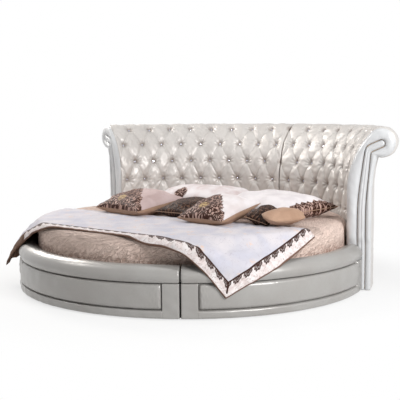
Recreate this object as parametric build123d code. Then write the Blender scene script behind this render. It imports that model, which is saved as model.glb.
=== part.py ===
from build123d import *
from math import asin, atan2, cos, degrees, radians, sin, sqrt
import os

# Round upholstered bed with a curved, buttoned headboard, and its bedding.
# Sizes are in millimetres. The origin is on the floor under the middle of the
# mattress, +Z is up and +Y points to the head. Outlines marked (radius, height)
# are drawn on an upright plane through the bed's axis and turned about it.

os.makedirs("parts", exist_ok=True)

# Clearances
soft_gap = 0.3          # between soft pieces that touch, and round the mattress
joint_gap = 0.4         # between timber frames at a seam
bolt_clearance = 0.5    # round a bolt in its hole
overrun = 5.0           # how far a cutting solid reaches past what it cuts

# Mattress and its fitted spread
mattress_radius = 992.0
mattress_thickness = 227.0
mattress_top_edge = 54.0     # rounding round the top
mattress_bottom_edge = 30.0
spread_thickness = 7.7

# Base: three padded segments, each a fifth of the circle
sector_share = 1 / 5
rim_width = 119.7            # from the mattress's edge to the outer face of the panels
rim_crest = 290.0            # highest line of the padded bumper
bumper_thickness = 28.0      # over the timber ledge
rim_fall = 14.0              # how far the bumper drops to the mattress
bumper_bottom = 198.0
bumper_roll = 30.0           # rounding of the bumper's outer edge
bumper_crown_radius = 45.0   # rounding where the bumper meets its inner edge
panel_bottom = 51.0
panel_depth = 40.0           # from the timber skin to the panel's face
panel_relief = 4.0           # how far the raised panel stands proud of its surround
panel_groove = 3.0           # sewn groove round the panel
panel_edge = 9.0             # rounding of the panel's edge
stile_width = 96.0           # from a segment's end to its panel
seam_width = 8.0             # dark gap between two segments
board_thickness = 18.0
skin_thickness = 12.0
rail_lip = 4.0               # bumper padding inside the rim
glide_height = 6.0
glide_radius = 20.0
end_block_length = 40.0

# Sleeping platform
bearer_width = 30.0
bearer_height = 20.0
slat_thickness = 20.0
slat_width = 60.0
slat_top = 190.0
slat_count = 13
slat_inset = 242.0           # from the mattress's edge in to the middle of the outermost slat
slat_end_gap = 2.0
beam_width = 80.0
beam_height = 60.0
beam_end_gap = 2.0
slat_lap = 34.0              # how far a slat lies on the beam
leg_radius = 25.0
leg_glide_radius = 28.0
leg_spacing = 600.0
hanger_thickness = 3.0
hanger_length = 45.0

# Headboard: two halves, each a fifth of the circle
head_setback = 21.7          # from the rim's inner edge to the upright buttoned face
head_depth = 146.0           # from that face to the headboard's back
roll_rise = 292.0            # from where the face begins to roll up to the scroll's middle
scroll_reach = 200.0         # from the upright face to the middle of the scroll
scroll_height = 912.0
scroll_radius = 82.0
scroll_end_angle = -105.0    # where the scroll's padding stops, above the notch
notch_drop = 4.0             # from the scroll's underside to where the back meets it
flare_rise = 186.0           # from where the back begins to lean outwards up to there
flare_radius = 630.0
pad_thickness = 30.0
face_board_thickness = 9.0
back_board_thickness = 6.0
back_cover_thickness = 6.0
rib_count = 4
pole_radius = 28.0           # timber pole inside the scroll
mid_rail_height = 60.0
mid_rail_width = 25.0
mid_rail_drop = 40.0         # below the start of the roll

# Buttoning
tuft_columns = 9
tuft_rows = 5
first_tuft_drop = 168.0      # from the start of the roll down to the lowest buttons
last_tuft_margin = 2.4       # from the highest buttons up to the end of the roll
tuft_depth = 18.0
tuft_mouth_radius = 26.0
tuft_floor_radius = 10.0
button_radius = 9.0
button_thickness = 7.0
button_edge = 3.0

# Fluted facing on the headboard's ends
facing_thickness = 14.0
facing_edge = 4.0
facing_groove = 3.0
tongue_setback = 62.0        # from the buttoned face to the middle flute
tongue_width = 47.0
tongue_front_knee = 60.0     # where its sides begin to lean outwards, below the roll's start
tongue_back_knee = 100.0
tongue_knee_bend = 1500.0
tongue_front_turn = 55.0     # bends where it turns into the hook
tongue_back_turn = 22.0
tongue_eye_radius = 21.5     # half the hook's width, at its end inside the scroll
tongue_eye_bend = 21.0
tongue_eye_drop = 6.0
tongue_eye_tilt = 24.0
tongue_front_reach = 114.0   # the hook's length along its two sides
tongue_back_reach = 100.0

# Bolts
bolt_radius = 5.0
bolt_head_radius = 9.0
bolt_head_height = 6.0
nut_height = 8.0
bolt_low_height = 60.0
bolt_high_height = 120.0
seam_bolt_height_shares = (0.2, 0.65, 1.13)     # of the height where the face begins to roll
seam_bolt_inset = 45.0       # from the face board to the seam bolts

# Throw
throw_thickness = 10.0
throw_front = 955.0          # from the bed's axis to the front hem
throw_back = 250.0           # from the bed's axis to the back hem
throw_right_slant = 7.4      # how far the back hem turns towards the head on the right
throw_left_slant = 0.0
throw_turn_inset = 7.0       # from the mattress's edge in to where the cloth turns down
throw_bend = 60.0            # bend there
throw_clearance = 7.0        # from the panels out to the right corner's fall
throw_right_shoulder = -5.0  # where that fall begins, above the rim's crest
throw_right_tip = 190.0      # the corner's lowest point, below the crest
throw_right_tip_angle = -41.6
throw_left_reach = 105.0     # from the turn out to the left corner's shoulder
throw_left_shoulder = 43.0
throw_left_flare = 102.0     # the left corner stands this far out from the panels
throw_left_tip = 175.0
throw_left_tip_angle = -135.0
throw_side_angle = -4.0      # direction of the side hem's upper end
throw_side_reach = 10.0      # that end, outwards from the spread's edge
throw_side_drop = 41.0       # and below the throw's flat part
throw_tail = 30.0            # cloth below the tip, cut off by the hems

# Shared sizes that follow
sector_span = 360 * sector_share
head_middle = 90.0
right_end = head_middle - sector_span
front_right = right_end - sector_span
front_left = front_right - sector_span
spread_radius = mattress_radius + soft_gap + spread_thickness
spread_top = slat_top + soft_gap + mattress_thickness + soft_gap + spread_thickness
rim_radius = spread_radius + soft_gap
base_radius = rim_radius + rim_width
ledge_top = rim_crest - bumper_thickness
rail_inner = rim_radius + rail_lip
rail_outer = base_radius - panel_depth
rail_middle = (rail_inner + rail_outer) / 2
surround_radius = base_radius - panel_relief
slat_bottom = slat_top - slat_thickness
bearer_bottom = slat_bottom - bearer_height
sill_top = glide_height + board_thickness
slat_reach = mattress_radius - slat_inset
ledge_bottom = ledge_top - board_thickness

# The headboard's face rolls on an arc that runs tangent into the scroll.
head_radius = rim_radius + head_setback
back_radius = head_radius + head_depth
roll_start = scroll_height - roll_rise
notch_height = scroll_height - scroll_radius - notch_drop
flare_start = notch_height - flare_rise
tongue_front = head_radius + tongue_setback
tongue_back = tongue_front + tongue_width
roll_radius = (scroll_reach**2 + roll_rise**2 - scroll_radius**2) / (2 * (scroll_reach - scroll_radius))
roll_centre = (head_radius + roll_radius, roll_start)
scroll_centre = (head_radius + scroll_reach, scroll_height)
roll_end_angle = degrees(atan2(roll_rise, scroll_centre[0] - roll_centre[0]))
roll_length = roll_radius * radians(180 - roll_end_angle)
tuft_row_pitch = (first_tuft_drop + roll_length - last_tuft_margin) / (tuft_rows - 1)
face_board_front = head_radius + pad_thickness
rib_front = face_board_front + face_board_thickness
back_board_back = back_radius - back_cover_thickness
rib_back = back_board_back - back_board_thickness
flare_centre = (back_radius + flare_radius, flare_start)
flare_angle = degrees(asin((notch_height - flare_start) / flare_radius))
core_radius = scroll_radius - pad_thickness - face_board_thickness


# Building helpers

def radial_plane(angle):
    """An upright plane through the bed's axis: x runs outwards, y runs up."""
    turn = radians(angle)
    return Plane(origin=(0, 0, 0), x_dir=(cos(turn), sin(turn), 0), z_dir=(sin(turn), -cos(turn), 0))


def turned(outline, start, end):
    """Turns an outline of (radius, height) about the bed's axis from start to end."""
    return revolve(radial_plane(start) * outline, Axis.Z, end - start)


def slab(outline, angle, near, far):
    """A flat board parallel to a radial plane, from near to far behind that plane."""
    return extrude(radial_plane(angle).offset(-far) * outline, amount=far - near)


def cross_board(shape, angle, near, far):
    """A flat board across the ring, its curved edges fitting outlines turned about the axis."""
    box = shape.bounding_box()
    blank = ring_box(box.min.X - overrun, box.max.X + overrun, box.min.Y - overrun, box.max.Y + overrun)
    reach = turn_of(abs(near) + abs(far) + overrun, box.min.X)
    return slab(blank, angle, near, far) & turned(shape, angle - reach, angle + reach)


def outline(points, radii=0):
    """A closed outline through points, with its corners rounded."""
    return make_face(FilletPolyline(*points, radius=radii, close=True))


def ring_box(inner, outer, bottom, top):
    """A rectangle of (radius, height)."""
    return outline([(inner, bottom), (outer, bottom), (outer, top), (inner, top)])


def at(angle, radius, height):
    """The point at an angle and a radius from the bed's axis."""
    return Vector(radius * cos(radians(angle)), radius * sin(radians(angle)), height)


def turn_of(length, radius):
    """The angle that a length spans at a radius."""
    return degrees(length / radius)


def on_arc(centre, radius, angle):
    """A point on an arc in an outline."""
    return (centre[0] + radius * cos(radians(angle)), centre[1] + radius * sin(radians(angle)))


def mirrored(piece):
    """The same piece on the other side of the bed."""
    return mirror(piece, about=Plane.YZ)


def upright(radius, x, y, bottom, top):
    """A round upright post."""
    return Pos(x, y, bottom) * Cylinder(radius, top - bottom, align=(Align.CENTER, Align.CENTER, Align.MIN))


nodes = {}


# Base segments

def bumper_outline():
    """The padded roll on top of a segment, (radius, height)."""
    inner_top = rim_crest - rim_fall
    crown = rim_radius + bumper_crown_radius
    return outline(
        [
            (rim_radius, ledge_top),
            (rim_radius, inner_top),
            (crown, rim_crest),
            (base_radius, rim_crest),
            (base_radius, bumper_bottom),
            (rail_outer, bumper_bottom),
            (rail_outer, ledge_top),
        ],
        [0, rail_lip, bumper_crown_radius, bumper_roll, rail_lip, 0, 0],
    )


def base_segment(name, start, end, start_gap, end_gap):
    """One segment of the base, from its timber box to its padded covers."""
    timber_start = start + turn_of(joint_gap / 2, rail_inner)
    timber_end = end - turn_of(joint_gap / 2, rail_inner)
    cover_start = start + turn_of(start_gap, base_radius)
    cover_end = end - turn_of(end_gap, base_radius)
    panel_start = start + turn_of(seam_width / 2 + stile_width, base_radius)
    panel_end = end - turn_of(seam_width / 2 + stile_width, base_radius)
    groove = turn_of(panel_groove, base_radius)
    outer_skin = ring_box(rail_outer - skin_thickness, rail_outer, sill_top, ledge_bottom)
    inner_skin = ring_box(rail_inner, rail_inner + skin_thickness, sill_top, ledge_bottom)
    sill = ring_box(rail_inner, rail_outer, glide_height, sill_top)
    ledge = ring_box(rail_inner, rail_outer, ledge_bottom, ledge_top)
    nodes[f"base_{name}_outer_skin"] = turned(outer_skin, timber_start, timber_end)
    nodes[f"base_{name}_inner_skin"] = turned(inner_skin, timber_start, timber_end)
    boards = [turned(board, timber_start, timber_end) for board in (sill, ledge)]
    nodes[f"base_{name}_ring_boards"] = Compound(children=[board.solid() for board in boards])
    nodes[f"base_{name}_bumper"] = turned(bumper_outline(), cover_start, cover_end)
    surround = outline(
        [
            (rail_outer, glide_height),
            (surround_radius, glide_height),
            (surround_radius, bumper_bottom),
            (rail_outer, bumper_bottom),
        ],
        [0, panel_edge, panel_groove, 0],
    )
    window = ring_box(rail_outer - overrun, base_radius + overrun, panel_bottom, bumper_bottom + overrun)
    nodes[f"base_{name}_surround"] = turned(surround, cover_start, cover_end) - turned(
        window, panel_start, panel_end
    )
    panel = outline(
        [
            (rail_outer, panel_bottom + panel_groove),
            (base_radius, panel_bottom + panel_groove),
            (base_radius, bumper_bottom - panel_groove),
            (rail_outer, bumper_bottom - panel_groove),
        ],
        [0, panel_edge, panel_edge, 0],
    )
    nodes[f"base_{name}_panel"] = turned(panel, panel_start + groove, panel_end - groove)


def end_block(angle, near, far):
    """A timber block between the skins at a segment's end, its end faces parallel."""
    edge_inner = rail_inner + skin_thickness
    edge_outer = rail_outer - skin_thickness
    return cross_board(ring_box(edge_inner, edge_outer, sill_top, ledge_bottom), angle, near, far)


# Headboard outlines, all (radius, height)

def face_arc(inset):
    """The rolling face, inset into the headboard, from its foot to the scroll."""
    return CenterArc(roll_centre, roll_radius - inset, 180, roll_end_angle - 180)


def head_outline():
    """The headboard's whole end, from the floor to the scroll."""
    start = on_arc(roll_centre, roll_radius, roll_end_angle)
    scroll_end = on_arc(scroll_centre, scroll_radius, scroll_end_angle)
    notch = on_arc(flare_centre, flare_radius, 180 - flare_angle)
    return make_face(
        [
            Line((head_radius, glide_height), (head_radius, roll_start)),
            face_arc(0),
            CenterArc(scroll_centre, scroll_radius, roll_end_angle, scroll_end_angle - roll_end_angle),
            Line(scroll_end, notch),
            CenterArc(flare_centre, flare_radius, 180 - flare_angle, flare_angle),
            Line((back_radius, flare_start), (back_radius, glide_height)),
            Line((back_radius, glide_height), (head_radius, glide_height)),
        ]
    )


def pad_outline():
    """The buttoned padding, from behind the mattress up and round the scroll."""
    face_top = on_arc(roll_centre, roll_radius - pad_thickness, roll_end_angle)
    core_top = on_arc(scroll_centre, core_radius, roll_end_angle)
    sweep = scroll_end_angle - roll_end_angle
    return make_face(
        [
            Line((head_radius, slat_top), (head_radius, roll_start)),
            face_arc(0),
            CenterArc(scroll_centre, scroll_radius, roll_end_angle, sweep),
            Line(
                on_arc(scroll_centre, scroll_radius, scroll_end_angle),
                on_arc(scroll_centre, core_radius, scroll_end_angle),
            ),
            CenterArc(scroll_centre, core_radius, scroll_end_angle, -sweep),
            Line(core_top, face_top),
            CenterArc(roll_centre, roll_radius - pad_thickness, roll_end_angle, 180 - roll_end_angle),
            Line((face_board_front, roll_start), (face_board_front, slat_top)),
            Line((face_board_front, slat_top), (head_radius, slat_top)),
        ]
    )


def face_board_outline():
    """The bent board behind the padding."""
    inset = pad_thickness + face_board_thickness
    return make_face(
        [
            Line((face_board_front, sill_top), (face_board_front, roll_start)),
            face_arc(pad_thickness),
            Line(
                on_arc(roll_centre, roll_radius - pad_thickness, roll_end_angle),
                on_arc(roll_centre, roll_radius - inset, roll_end_angle),
            ),
            CenterArc(roll_centre, roll_radius - inset, roll_end_angle, 180 - roll_end_angle),
            Line((rib_front, roll_start), (rib_front, sill_top)),
            Line((rib_front, sill_top), (face_board_front, sill_top)),
        ]
    )


def back_outline(outer, inner, bottom):
    """A sheet on the headboard's back, between two radii, leaning out to the notch."""
    outer_flare = flare_radius + back_radius - outer
    inner_flare = flare_radius + back_radius - inner
    return make_face(
        [
            Line((outer, bottom), (outer, flare_start)),
            CenterArc(flare_centre, outer_flare, 180, -flare_angle),
            Line(
                on_arc(flare_centre, outer_flare, 180 - flare_angle),
                on_arc(flare_centre, inner_flare, 180 - flare_angle),
            ),
            CenterArc(flare_centre, inner_flare, 180 - flare_angle, flare_angle),
            Line((inner, flare_start), (inner, bottom)),
            Line((inner, bottom), (outer, bottom)),
        ]
    )


def rib_outline():
    """A timber rib between the face board and the back board."""
    inset = pad_thickness + face_board_thickness
    back_flare = flare_radius + back_radius - rib_back
    rib_top = on_arc(flare_centre, back_flare, 180 - flare_angle)
    return make_face(
        [
            Line((rib_front, sill_top), (rib_front, roll_start)),
            face_arc(inset),
            CenterArc(scroll_centre, core_radius, roll_end_angle, scroll_end_angle - roll_end_angle),
            Line(on_arc(scroll_centre, core_radius, scroll_end_angle), rib_top),
            CenterArc(flare_centre, back_flare, 180 - flare_angle, flare_angle),
            Line((rib_back, flare_start), (rib_back, sill_top)),
            Line((rib_back, sill_top), (rib_front, sill_top)),
        ]
    )


def tongue_outline(grow):
    """The middle flute with its hooked end, enlarged on all sides by grow."""
    eye = Plane(origin=(scroll_centre[0], scroll_height - tongue_eye_drop, 0))
    eye = eye.rotated((0, 0, tongue_eye_tilt))
    end_top = eye.from_local_coords((tongue_eye_radius, tongue_eye_radius))
    end_bottom = eye.from_local_coords((tongue_eye_radius, -tongue_eye_radius))
    front_turn = eye.from_local_coords((tongue_eye_radius - tongue_front_reach, tongue_eye_radius))
    back_turn = eye.from_local_coords((tongue_eye_radius - tongue_back_reach, -tongue_eye_radius))
    flute = outline(
        [
            (tongue_front, glide_height),
            (tongue_front, roll_start - tongue_front_knee),
            (front_turn.X, front_turn.Y),
            (end_top.X, end_top.Y),
            (end_bottom.X, end_bottom.Y),
            (back_turn.X, back_turn.Y),
            (tongue_back, roll_start - tongue_back_knee),
            (tongue_back, glide_height),
        ],
        [
            0,
            tongue_knee_bend,
            tongue_front_turn,
            tongue_eye_bend,
            tongue_eye_bend,
            tongue_back_turn,
            tongue_knee_bend,
            0,
        ],
    )
    return offset(flute, grow) if grow else flute


def tuft_place(row, turn):
    """A plane on the buttoned face, facing out, at a row and an angle."""
    past_roll = row * tuft_row_pitch - first_tuft_drop
    lean = max(0, degrees(past_roll / roll_radius))
    if lean > 0:
        radius, height = on_arc(roll_centre, roll_radius, 180 - lean)
    else:
        radius, height = head_radius, roll_start + past_roll
    outward = at(turn, -cos(radians(lean)), sin(radians(lean)))
    return Plane(origin=at(turn, radius, height), z_dir=outward)


def tuft_places():
    """Every button of the right half: full rows of buttons, staggered row by row."""
    pitch = sector_span / tuft_columns
    places = []
    for row in range(tuft_rows):
        shift = (row + 1) % 2
        for column in range(tuft_columns - shift):
            places.append(tuft_place(row, head_middle - (column + (1 + shift) / 2) * pitch))
    return places


def head_half():
    """The right half of the headboard, as a dictionary of pieces."""
    start, end = right_end, head_middle - turn_of(seam_width / 2, head_radius)
    timber_end = head_middle - turn_of(joint_gap / 2, head_radius)
    facing_back = facing_thickness
    board_back = facing_back + board_thickness
    tall = scroll_height + scroll_radius + overrun
    wide = scroll_centre[0] + scroll_radius + overrun

    def behind(depth):
        """A block that clears everything in front of a depth behind the end."""
        block = outline([(0, -overrun), (wide, -overrun), (wide, tall), (0, tall)])
        return slab(block, right_end, -wide, depth)

    facing_space = behind(facing_back)
    pieces = {}

    places = tuft_places()
    mouth = tuft_mouth_radius + (tuft_mouth_radius - tuft_floor_radius) * overrun / tuft_depth
    funnel = Pos(0, 0, -tuft_depth) * Cone(
        tuft_floor_radius, mouth, tuft_depth + overrun, align=(Align.CENTER, Align.CENTER, Align.MIN)
    )
    pad = turned(pad_outline(), start, end) - facing_space
    pieces["tufted_pad"] = pad - [place * funnel for place in places]
    button = Pos(0, 0, soft_gap - tuft_depth) * Cylinder(
        button_radius, button_thickness, align=(Align.CENTER, Align.CENTER, Align.MIN)
    )
    button = fillet(button.edges().group_by(Axis.Z)[-1], button_edge)
    pieces["buttons"] = Compound(children=[(place * button).solid() for place in places])

    pieces["face_board"] = turned(face_board_outline(), start, timber_end) - facing_space
    pieces["back_board"] = (
        turned(back_outline(back_board_back, rib_back, sill_top), start, timber_end) - facing_space
    )
    cover = back_outline(back_radius, back_board_back, glide_height)
    pieces["back_cover"] = turned(cover, start, end) - facing_space

    mid_top = roll_start - mid_rail_drop
    pole = turned(Pos(*scroll_centre) * Circle(pole_radius), start, timber_end) - facing_space
    mid_rail = ring_box(rib_front, rib_front + mid_rail_width, mid_top - mid_rail_height, mid_top)
    mid_rail = turned(mid_rail, start, timber_end) - facing_space
    foot_rail = ring_box(face_board_front, back_board_back, glide_height, sill_top)
    foot_rail = turned(foot_rail, start, timber_end) - facing_space
    rails = [rail.solid() for rail in (pole, mid_rail, foot_rail)]
    pieces["rails"] = Compound(children=rails)

    rib = rib_outline()
    step = sector_span / (rib_count + 1)
    half = board_thickness / 2
    ribs = [cross_board(rib, right_end + step * (n + 1), -half, half) for n in range(rib_count)]
    seam_near = joint_gap / 2
    ribs.append(cross_board(rib, head_middle, -seam_near - board_thickness, -seam_near))
    pieces["ribs"] = Compound(children=[(each - rails).solid() for each in ribs])
    pieces["end_board"] = cross_board(rib, right_end, facing_back, board_back) - rails

    band = slab(head_outline() - tongue_outline(facing_groove), right_end, soft_gap, facing_back)
    tongue = slab(tongue_outline(0), right_end, soft_gap, facing_back)
    pieces["end_band"] = band
    pieces["end_tongue"] = tongue

    bearer = ring_box(rail_inner - bearer_width, face_board_front, bearer_bottom, slat_bottom)
    bearer = turned(bearer, start, timber_end) - facing_space
    block = ring_box(rail_inner, face_board_front, glide_height, bearer_bottom)
    block = cross_board(block, right_end, facing_back, facing_back + end_block_length)
    return pieces, bearer, block


# Sleeping platform

def slat(y, side):
    """One slat, from the middle beam to the ring of bearers."""
    far_edge = abs(y) + slat_width / 2
    outer = sqrt((rail_inner - slat_end_gap) ** 2 - far_edge**2)
    inner = beam_width / 2 - slat_lap
    middle = side * (inner + outer) / 2
    board = Box(outer - inner, slat_width, slat_thickness, align=(Align.CENTER, Align.CENTER, Align.MAX))
    return Pos(middle, y, slat_top) * board


def beam_hanger(side):
    """A folded steel saddle that carries an end of the middle beam."""
    beam_end = rail_inner - bearer_width - beam_end_gap
    wall = hanger_thickness
    top = slat_bottom
    under = (Align.CENTER, Align.MAX, Align.MAX)
    outer = Box(beam_width + 2 * wall, hanger_length, beam_height + wall, align=under)
    inner = Box(beam_width, hanger_length, beam_height, align=under)
    saddle = outer - inner
    wing = Box(wall * 2, beam_end_gap + wall, beam_height, align=(Align.CENTER, Align.MIN, Align.MAX))
    for hand in (-1, 1):
        saddle += Pos(hand * (beam_width / 2 + wall), 0, 0) * wing
    saddle = Pos(0, beam_end, top) * saddle
    reach = Cylinder(rail_inner - bearer_width, slat_top, align=(Align.CENTER, Align.CENTER, Align.MIN))
    saddle = saddle & reach
    return saddle if side > 0 else mirror(saddle, about=Plane.XZ)


# Fasteners

def bolt_set(angle, radius, height, near, far):
    """A hexagon bolt and its nut across a seam, from near to far about the seam."""
    place = radial_plane(angle) * Pos(radius, height, 0)
    flat = RegularPolygon(bolt_head_radius, 6)
    shank_length = near + far + nut_height
    shank = Pos(0, 0, -far - nut_height) * Cylinder(
        bolt_radius, shank_length, align=(Align.CENTER, Align.CENTER, Align.MIN)
    )
    head = Pos(0, 0, near) * extrude(flat, amount=bolt_head_height)
    nut = Pos(0, 0, -far - nut_height) * extrude(flat - Circle(bolt_radius), amount=nut_height)
    hole = Pos(0, 0, -far) * Cylinder(
        bolt_radius + bolt_clearance, near + far, align=(Align.CENTER, Align.CENTER, Align.MIN)
    )
    return place * (shank + head), place * nut, place * hole


# Throw

def parallel(points, distance):
    """The same open line moved sideways by distance, corner by corner."""
    moved = []
    for index, point in enumerate(points):
        here = Vector(*point)
        before = (here - Vector(*points[index - 1])).normalized() if index else None
        after = (Vector(*points[index + 1]) - here).normalized() if index + 1 < len(points) else None
        before, after = before or after, after or before
        side = Vector(-before.Y, before.X) + Vector(-after.Y, after.X)
        side = side.normalized()
        reach = distance / (side.X * -before.Y + side.Y * before.X)
        moved.append((here.X + side.X * reach, here.Y + side.Y * reach))
    return moved


def cloth_outline(points, bends):
    """A sheet's thickness above an open line of (radius, height)."""
    upper = parallel(points, throw_thickness)
    under = FilletPolyline(*points, radius=bends)
    over = FilletPolyline(*upper, radius=[bend + throw_thickness for bend in bends])
    ends = [Line(points[0], upper[0]), Line(points[-1], upper[-1])]
    return make_face([*under.edges(), *over.edges(), *ends])


def hem_plane(point, along, tip):
    """A plane through a point, along a direction and through the corner's tip, facing inwards."""
    normal = along.cross(tip - point).normalized()
    if normal.dot(Vector(0, 0, point.Z) - point) < 0:
        normal = -normal
    return Plane(origin=point, z_dir=normal)


def throw_half(line, bends, tip, start, end, hand, slant):
    """Half of the throw: flat on the mattress, with its front corner hanging."""
    half = turned(cloth_outline(line, bends), start, end)
    lie = spread_top + soft_gap
    front_point = Vector(0, -throw_front, lie)
    front = hem_plane(front_point, Vector(1, 0, 0), tip)
    side_point = at(throw_side_angle, spread_radius + throw_side_reach, lie - throw_side_drop)
    side_point = Vector(hand * side_point.X, side_point.Y, side_point.Z)
    rim_angle = (throw_side_angle + throw_right_tip_angle) / 2
    rim_point = at(rim_angle, base_radius - bumper_roll, rim_crest + throw_thickness)
    rim_point = Vector(hand * rim_point.X, rim_point.Y, rim_point.Z)
    side = hem_plane(side_point, (rim_point - side_point).normalized(), tip)
    turn = radians(slant)
    back = Plane(origin=(0, -throw_back, 0), z_dir=(hand * sin(turn), -cos(turn), 0))
    for cut in (front, side, back):
        half = split(half, bisect_by=cut, keep=Keep.TOP)
    return half


def make_throw():
    """The quilted throw, with its two front corners hanging over the rim."""
    lie = spread_top + soft_gap
    turn = (mattress_radius - throw_turn_inset, lie)
    right_hang = base_radius + throw_clearance
    left_hang = base_radius + throw_left_flare
    right_low = rim_crest - throw_right_tip
    left_low = rim_crest - throw_left_tip
    right_line = [
        (0, lie),
        turn,
        (right_hang, rim_crest + throw_right_shoulder),
        (right_hang, right_low - throw_tail),
    ]
    left_line = [
        (0, lie),
        turn,
        (turn[0] + throw_left_reach, rim_crest + throw_left_shoulder),
        (left_hang, left_low - throw_tail),
    ]
    bends = [throw_bend, throw_bend]
    front = head_middle - 180
    right_tip = at(throw_right_tip_angle, right_hang, right_low)
    left_tip = at(throw_left_tip_angle, left_hang, left_low)
    right = throw_half(right_line, bends, right_tip, front, 0, 1, throw_right_slant)
    left = throw_half(left_line, bends, left_tip, front - 90, front, -1, throw_left_slant)
    return right + left


# Pillows

length_shares = (-0.5, -0.44, -0.27, 0, 0.27, 0.44, 0.5)
depth_shares = (1.0, 0.97, 0.94, 0.93, 0.94, 0.97, 1.0)
crown_shares = (0.1, 0.42, 0.86, 1.0, 0.86, 0.42, 0.1)


def pillow(length, depth, crown):
    """A filled pillow: full in the middle, thin at its edges, drawn in between its corners."""
    sections = []
    for along, across, lift in zip(length_shares, depth_shares, crown_shares):
        reach = depth * across / 2
        swell = crown * lift / 2
        over = ThreePointArc((-reach, 0), (0, swell), (reach, 0))
        under = ThreePointArc((reach, 0), (0, -swell), (-reach, 0))
        sections.append(Plane.YZ.offset(length * along) * make_face([over, under]))
    return loft(sections)


def lowered(piece, supports):
    """Lowers a piece straight down until it lies just above what carries it."""
    settled = 2 * soft_gap
    while True:
        gap = min(piece.distance_to(support) for support in supports)
        if gap <= settled:
            return piece
        piece = Pos(0, 0, soft_gap - gap) * piece


# name, length, depth, crown
pillow_sizes = {
    "pillow_back_left": (700.0, 420.0, 145.0),
    "pillow_back_right": (600.0, 540.0, 145.0),
    "pillow_mid_left": (300.0, 400.0, 100.0),
    "pillow_front_left": (460.0, 430.0, 135.0),
    "pillow_front_centre": (370.0, 400.0, 125.0),
    "pillow_mid_right": (170.0, 240.0, 85.0),
    "pillow_tan": (300.0, 160.0, 80.0),
}
# Middle of each pillow as shares of the mattress radius, to the right and to the head
pillow_place_shares = {
    "pillow_back_left": (-0.23, 0.44),
    "pillow_back_right": (0.49, 0.28),
    "pillow_mid_left": (0.0, -0.025),
    "pillow_front_left": (-0.37, -0.11),
    "pillow_front_centre": (0.37, -0.19),
    "pillow_mid_right": (0.66, -0.11),
    "pillow_tan": (0.80, -0.12),
}
# Turn about the upright, then roll to the right and tip back, in degrees
pillow_turns = {
    "pillow_back_left": (6.0, 0.0, 0.0),
    "pillow_back_right": (-3.0, 3.0, 0.0),
    "pillow_mid_left": (0.0, 0.0, 4.0),
    "pillow_front_left": (-8.0, 0.0, 8.0),
    "pillow_front_centre": (-2.0, 0.0, 12.0),
    "pillow_mid_right": (2.0, 14.0, 12.0),
    "pillow_tan": (76.0, 0.0, 16.0),
}
pillow_lift = 260.0          # height above the spread from which a pillow is lowered


def make_pillows(carriers):
    """Lays the pillows down one after the other, each on what lies there already."""
    laid = list(carriers)
    for name, (length, depth, crown) in pillow_sizes.items():
        right, head = pillow_place_shares[name]
        turn, roll, tip = pillow_turns[name]
        piece = Rot(0, 0, turn) * Rot(tip, roll, 0) * pillow(length, depth, crown)
        piece = Pos(right * mattress_radius, head * mattress_radius, spread_top + pillow_lift) * piece
        piece = lowered(piece, laid)
        laid.append(piece)
        nodes[name] = piece


# Assembly

half_seam = seam_width / 2
base_segment("right", front_right, right_end, half_seam, soft_gap)
base_segment("front", front_left, front_right, half_seam, half_seam)
for piece_name in ("outer_skin", "inner_skin", "ring_boards", "bumper", "surround", "panel"):
    nodes[f"base_left_{piece_name}"] = mirrored(nodes[f"base_right_{piece_name}"])

# End blocks at both ends of each segment, drilled for the bolts
half_joint = joint_gap / 2
right_blocks = [
    end_block(front_right, half_joint, end_block_length),
    end_block(right_end, -end_block_length, -half_joint),
]
front_blocks = [end_block(front_right, -end_block_length, -half_joint)]

head_pieces, head_bearer, head_block = head_half()

bolts, nuts, holes = [], [], []
head_bolt_depth = facing_thickness + end_block_length
heights = (bolt_low_height, bolt_high_height)
bolt_line = (rail_inner + skin_thickness + face_board_front) / 2
bolt_rows = [(front_right, bolt_line, height, end_block_length, end_block_length) for height in heights]
bolt_rows += [(right_end, bolt_line, height, end_block_length, head_bolt_depth) for height in heights]
for angle, radius, height, near, far in bolt_rows:
    bolt, nut, hole = bolt_set(angle, radius, height, near, far)
    bolts += [bolt, mirrored(bolt)]
    nuts += [nut, mirrored(nut)]
    holes.append(hole)
seam_holes = []
for height in [share * roll_start for share in seam_bolt_height_shares]:
    reach = half_joint + board_thickness
    bolt, nut, hole = bolt_set(head_middle, rib_front + seam_bolt_inset, height, reach, reach)
    bolts.append(bolt)
    nuts.append(nut)
    seam_holes.append(hole)

right_blocks = [block - holes for block in right_blocks + [head_block]]
front_blocks = [block - holes for block in front_blocks]
blocks = right_blocks + front_blocks
blocks += [mirrored(block) for block in blocks]
nodes["base_end_blocks"] = Compound(children=[block.solid() for block in blocks])

for piece_name in ("end_board", "end_band", "end_tongue"):
    head_pieces[piece_name] = head_pieces[piece_name] - holes
ribs = [rib - seam_holes for rib in head_pieces["ribs"].solids()]
head_pieces["ribs"] = Compound(children=[rib.solid() for rib in ribs])
for piece_name, piece in head_pieces.items():
    nodes[f"head_right_{piece_name}"] = piece
    nodes[f"head_left_{piece_name}"] = mirrored(piece)

nodes["joint_bolts"] = Compound(children=[bolt.solid() for bolt in bolts])
nodes["joint_nuts"] = Compound(children=[nut.solid() for nut in nuts])

# Bearers, slats, middle beam and its legs
base_bearer = ring_box(rail_inner - bearer_width, rail_inner, bearer_bottom, slat_bottom)
bearer_joint = turn_of(half_joint, rail_inner)
bearers = [
    turned(base_bearer, front_right + bearer_joint, right_end - bearer_joint),
    turned(base_bearer, front_left + bearer_joint, front_right - bearer_joint),
    head_bearer,
]
bearers += [mirrored(bearers[0]), mirrored(head_bearer)]
nodes["bearers"] = Compound(children=[bearer.solid() for bearer in bearers])

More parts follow.
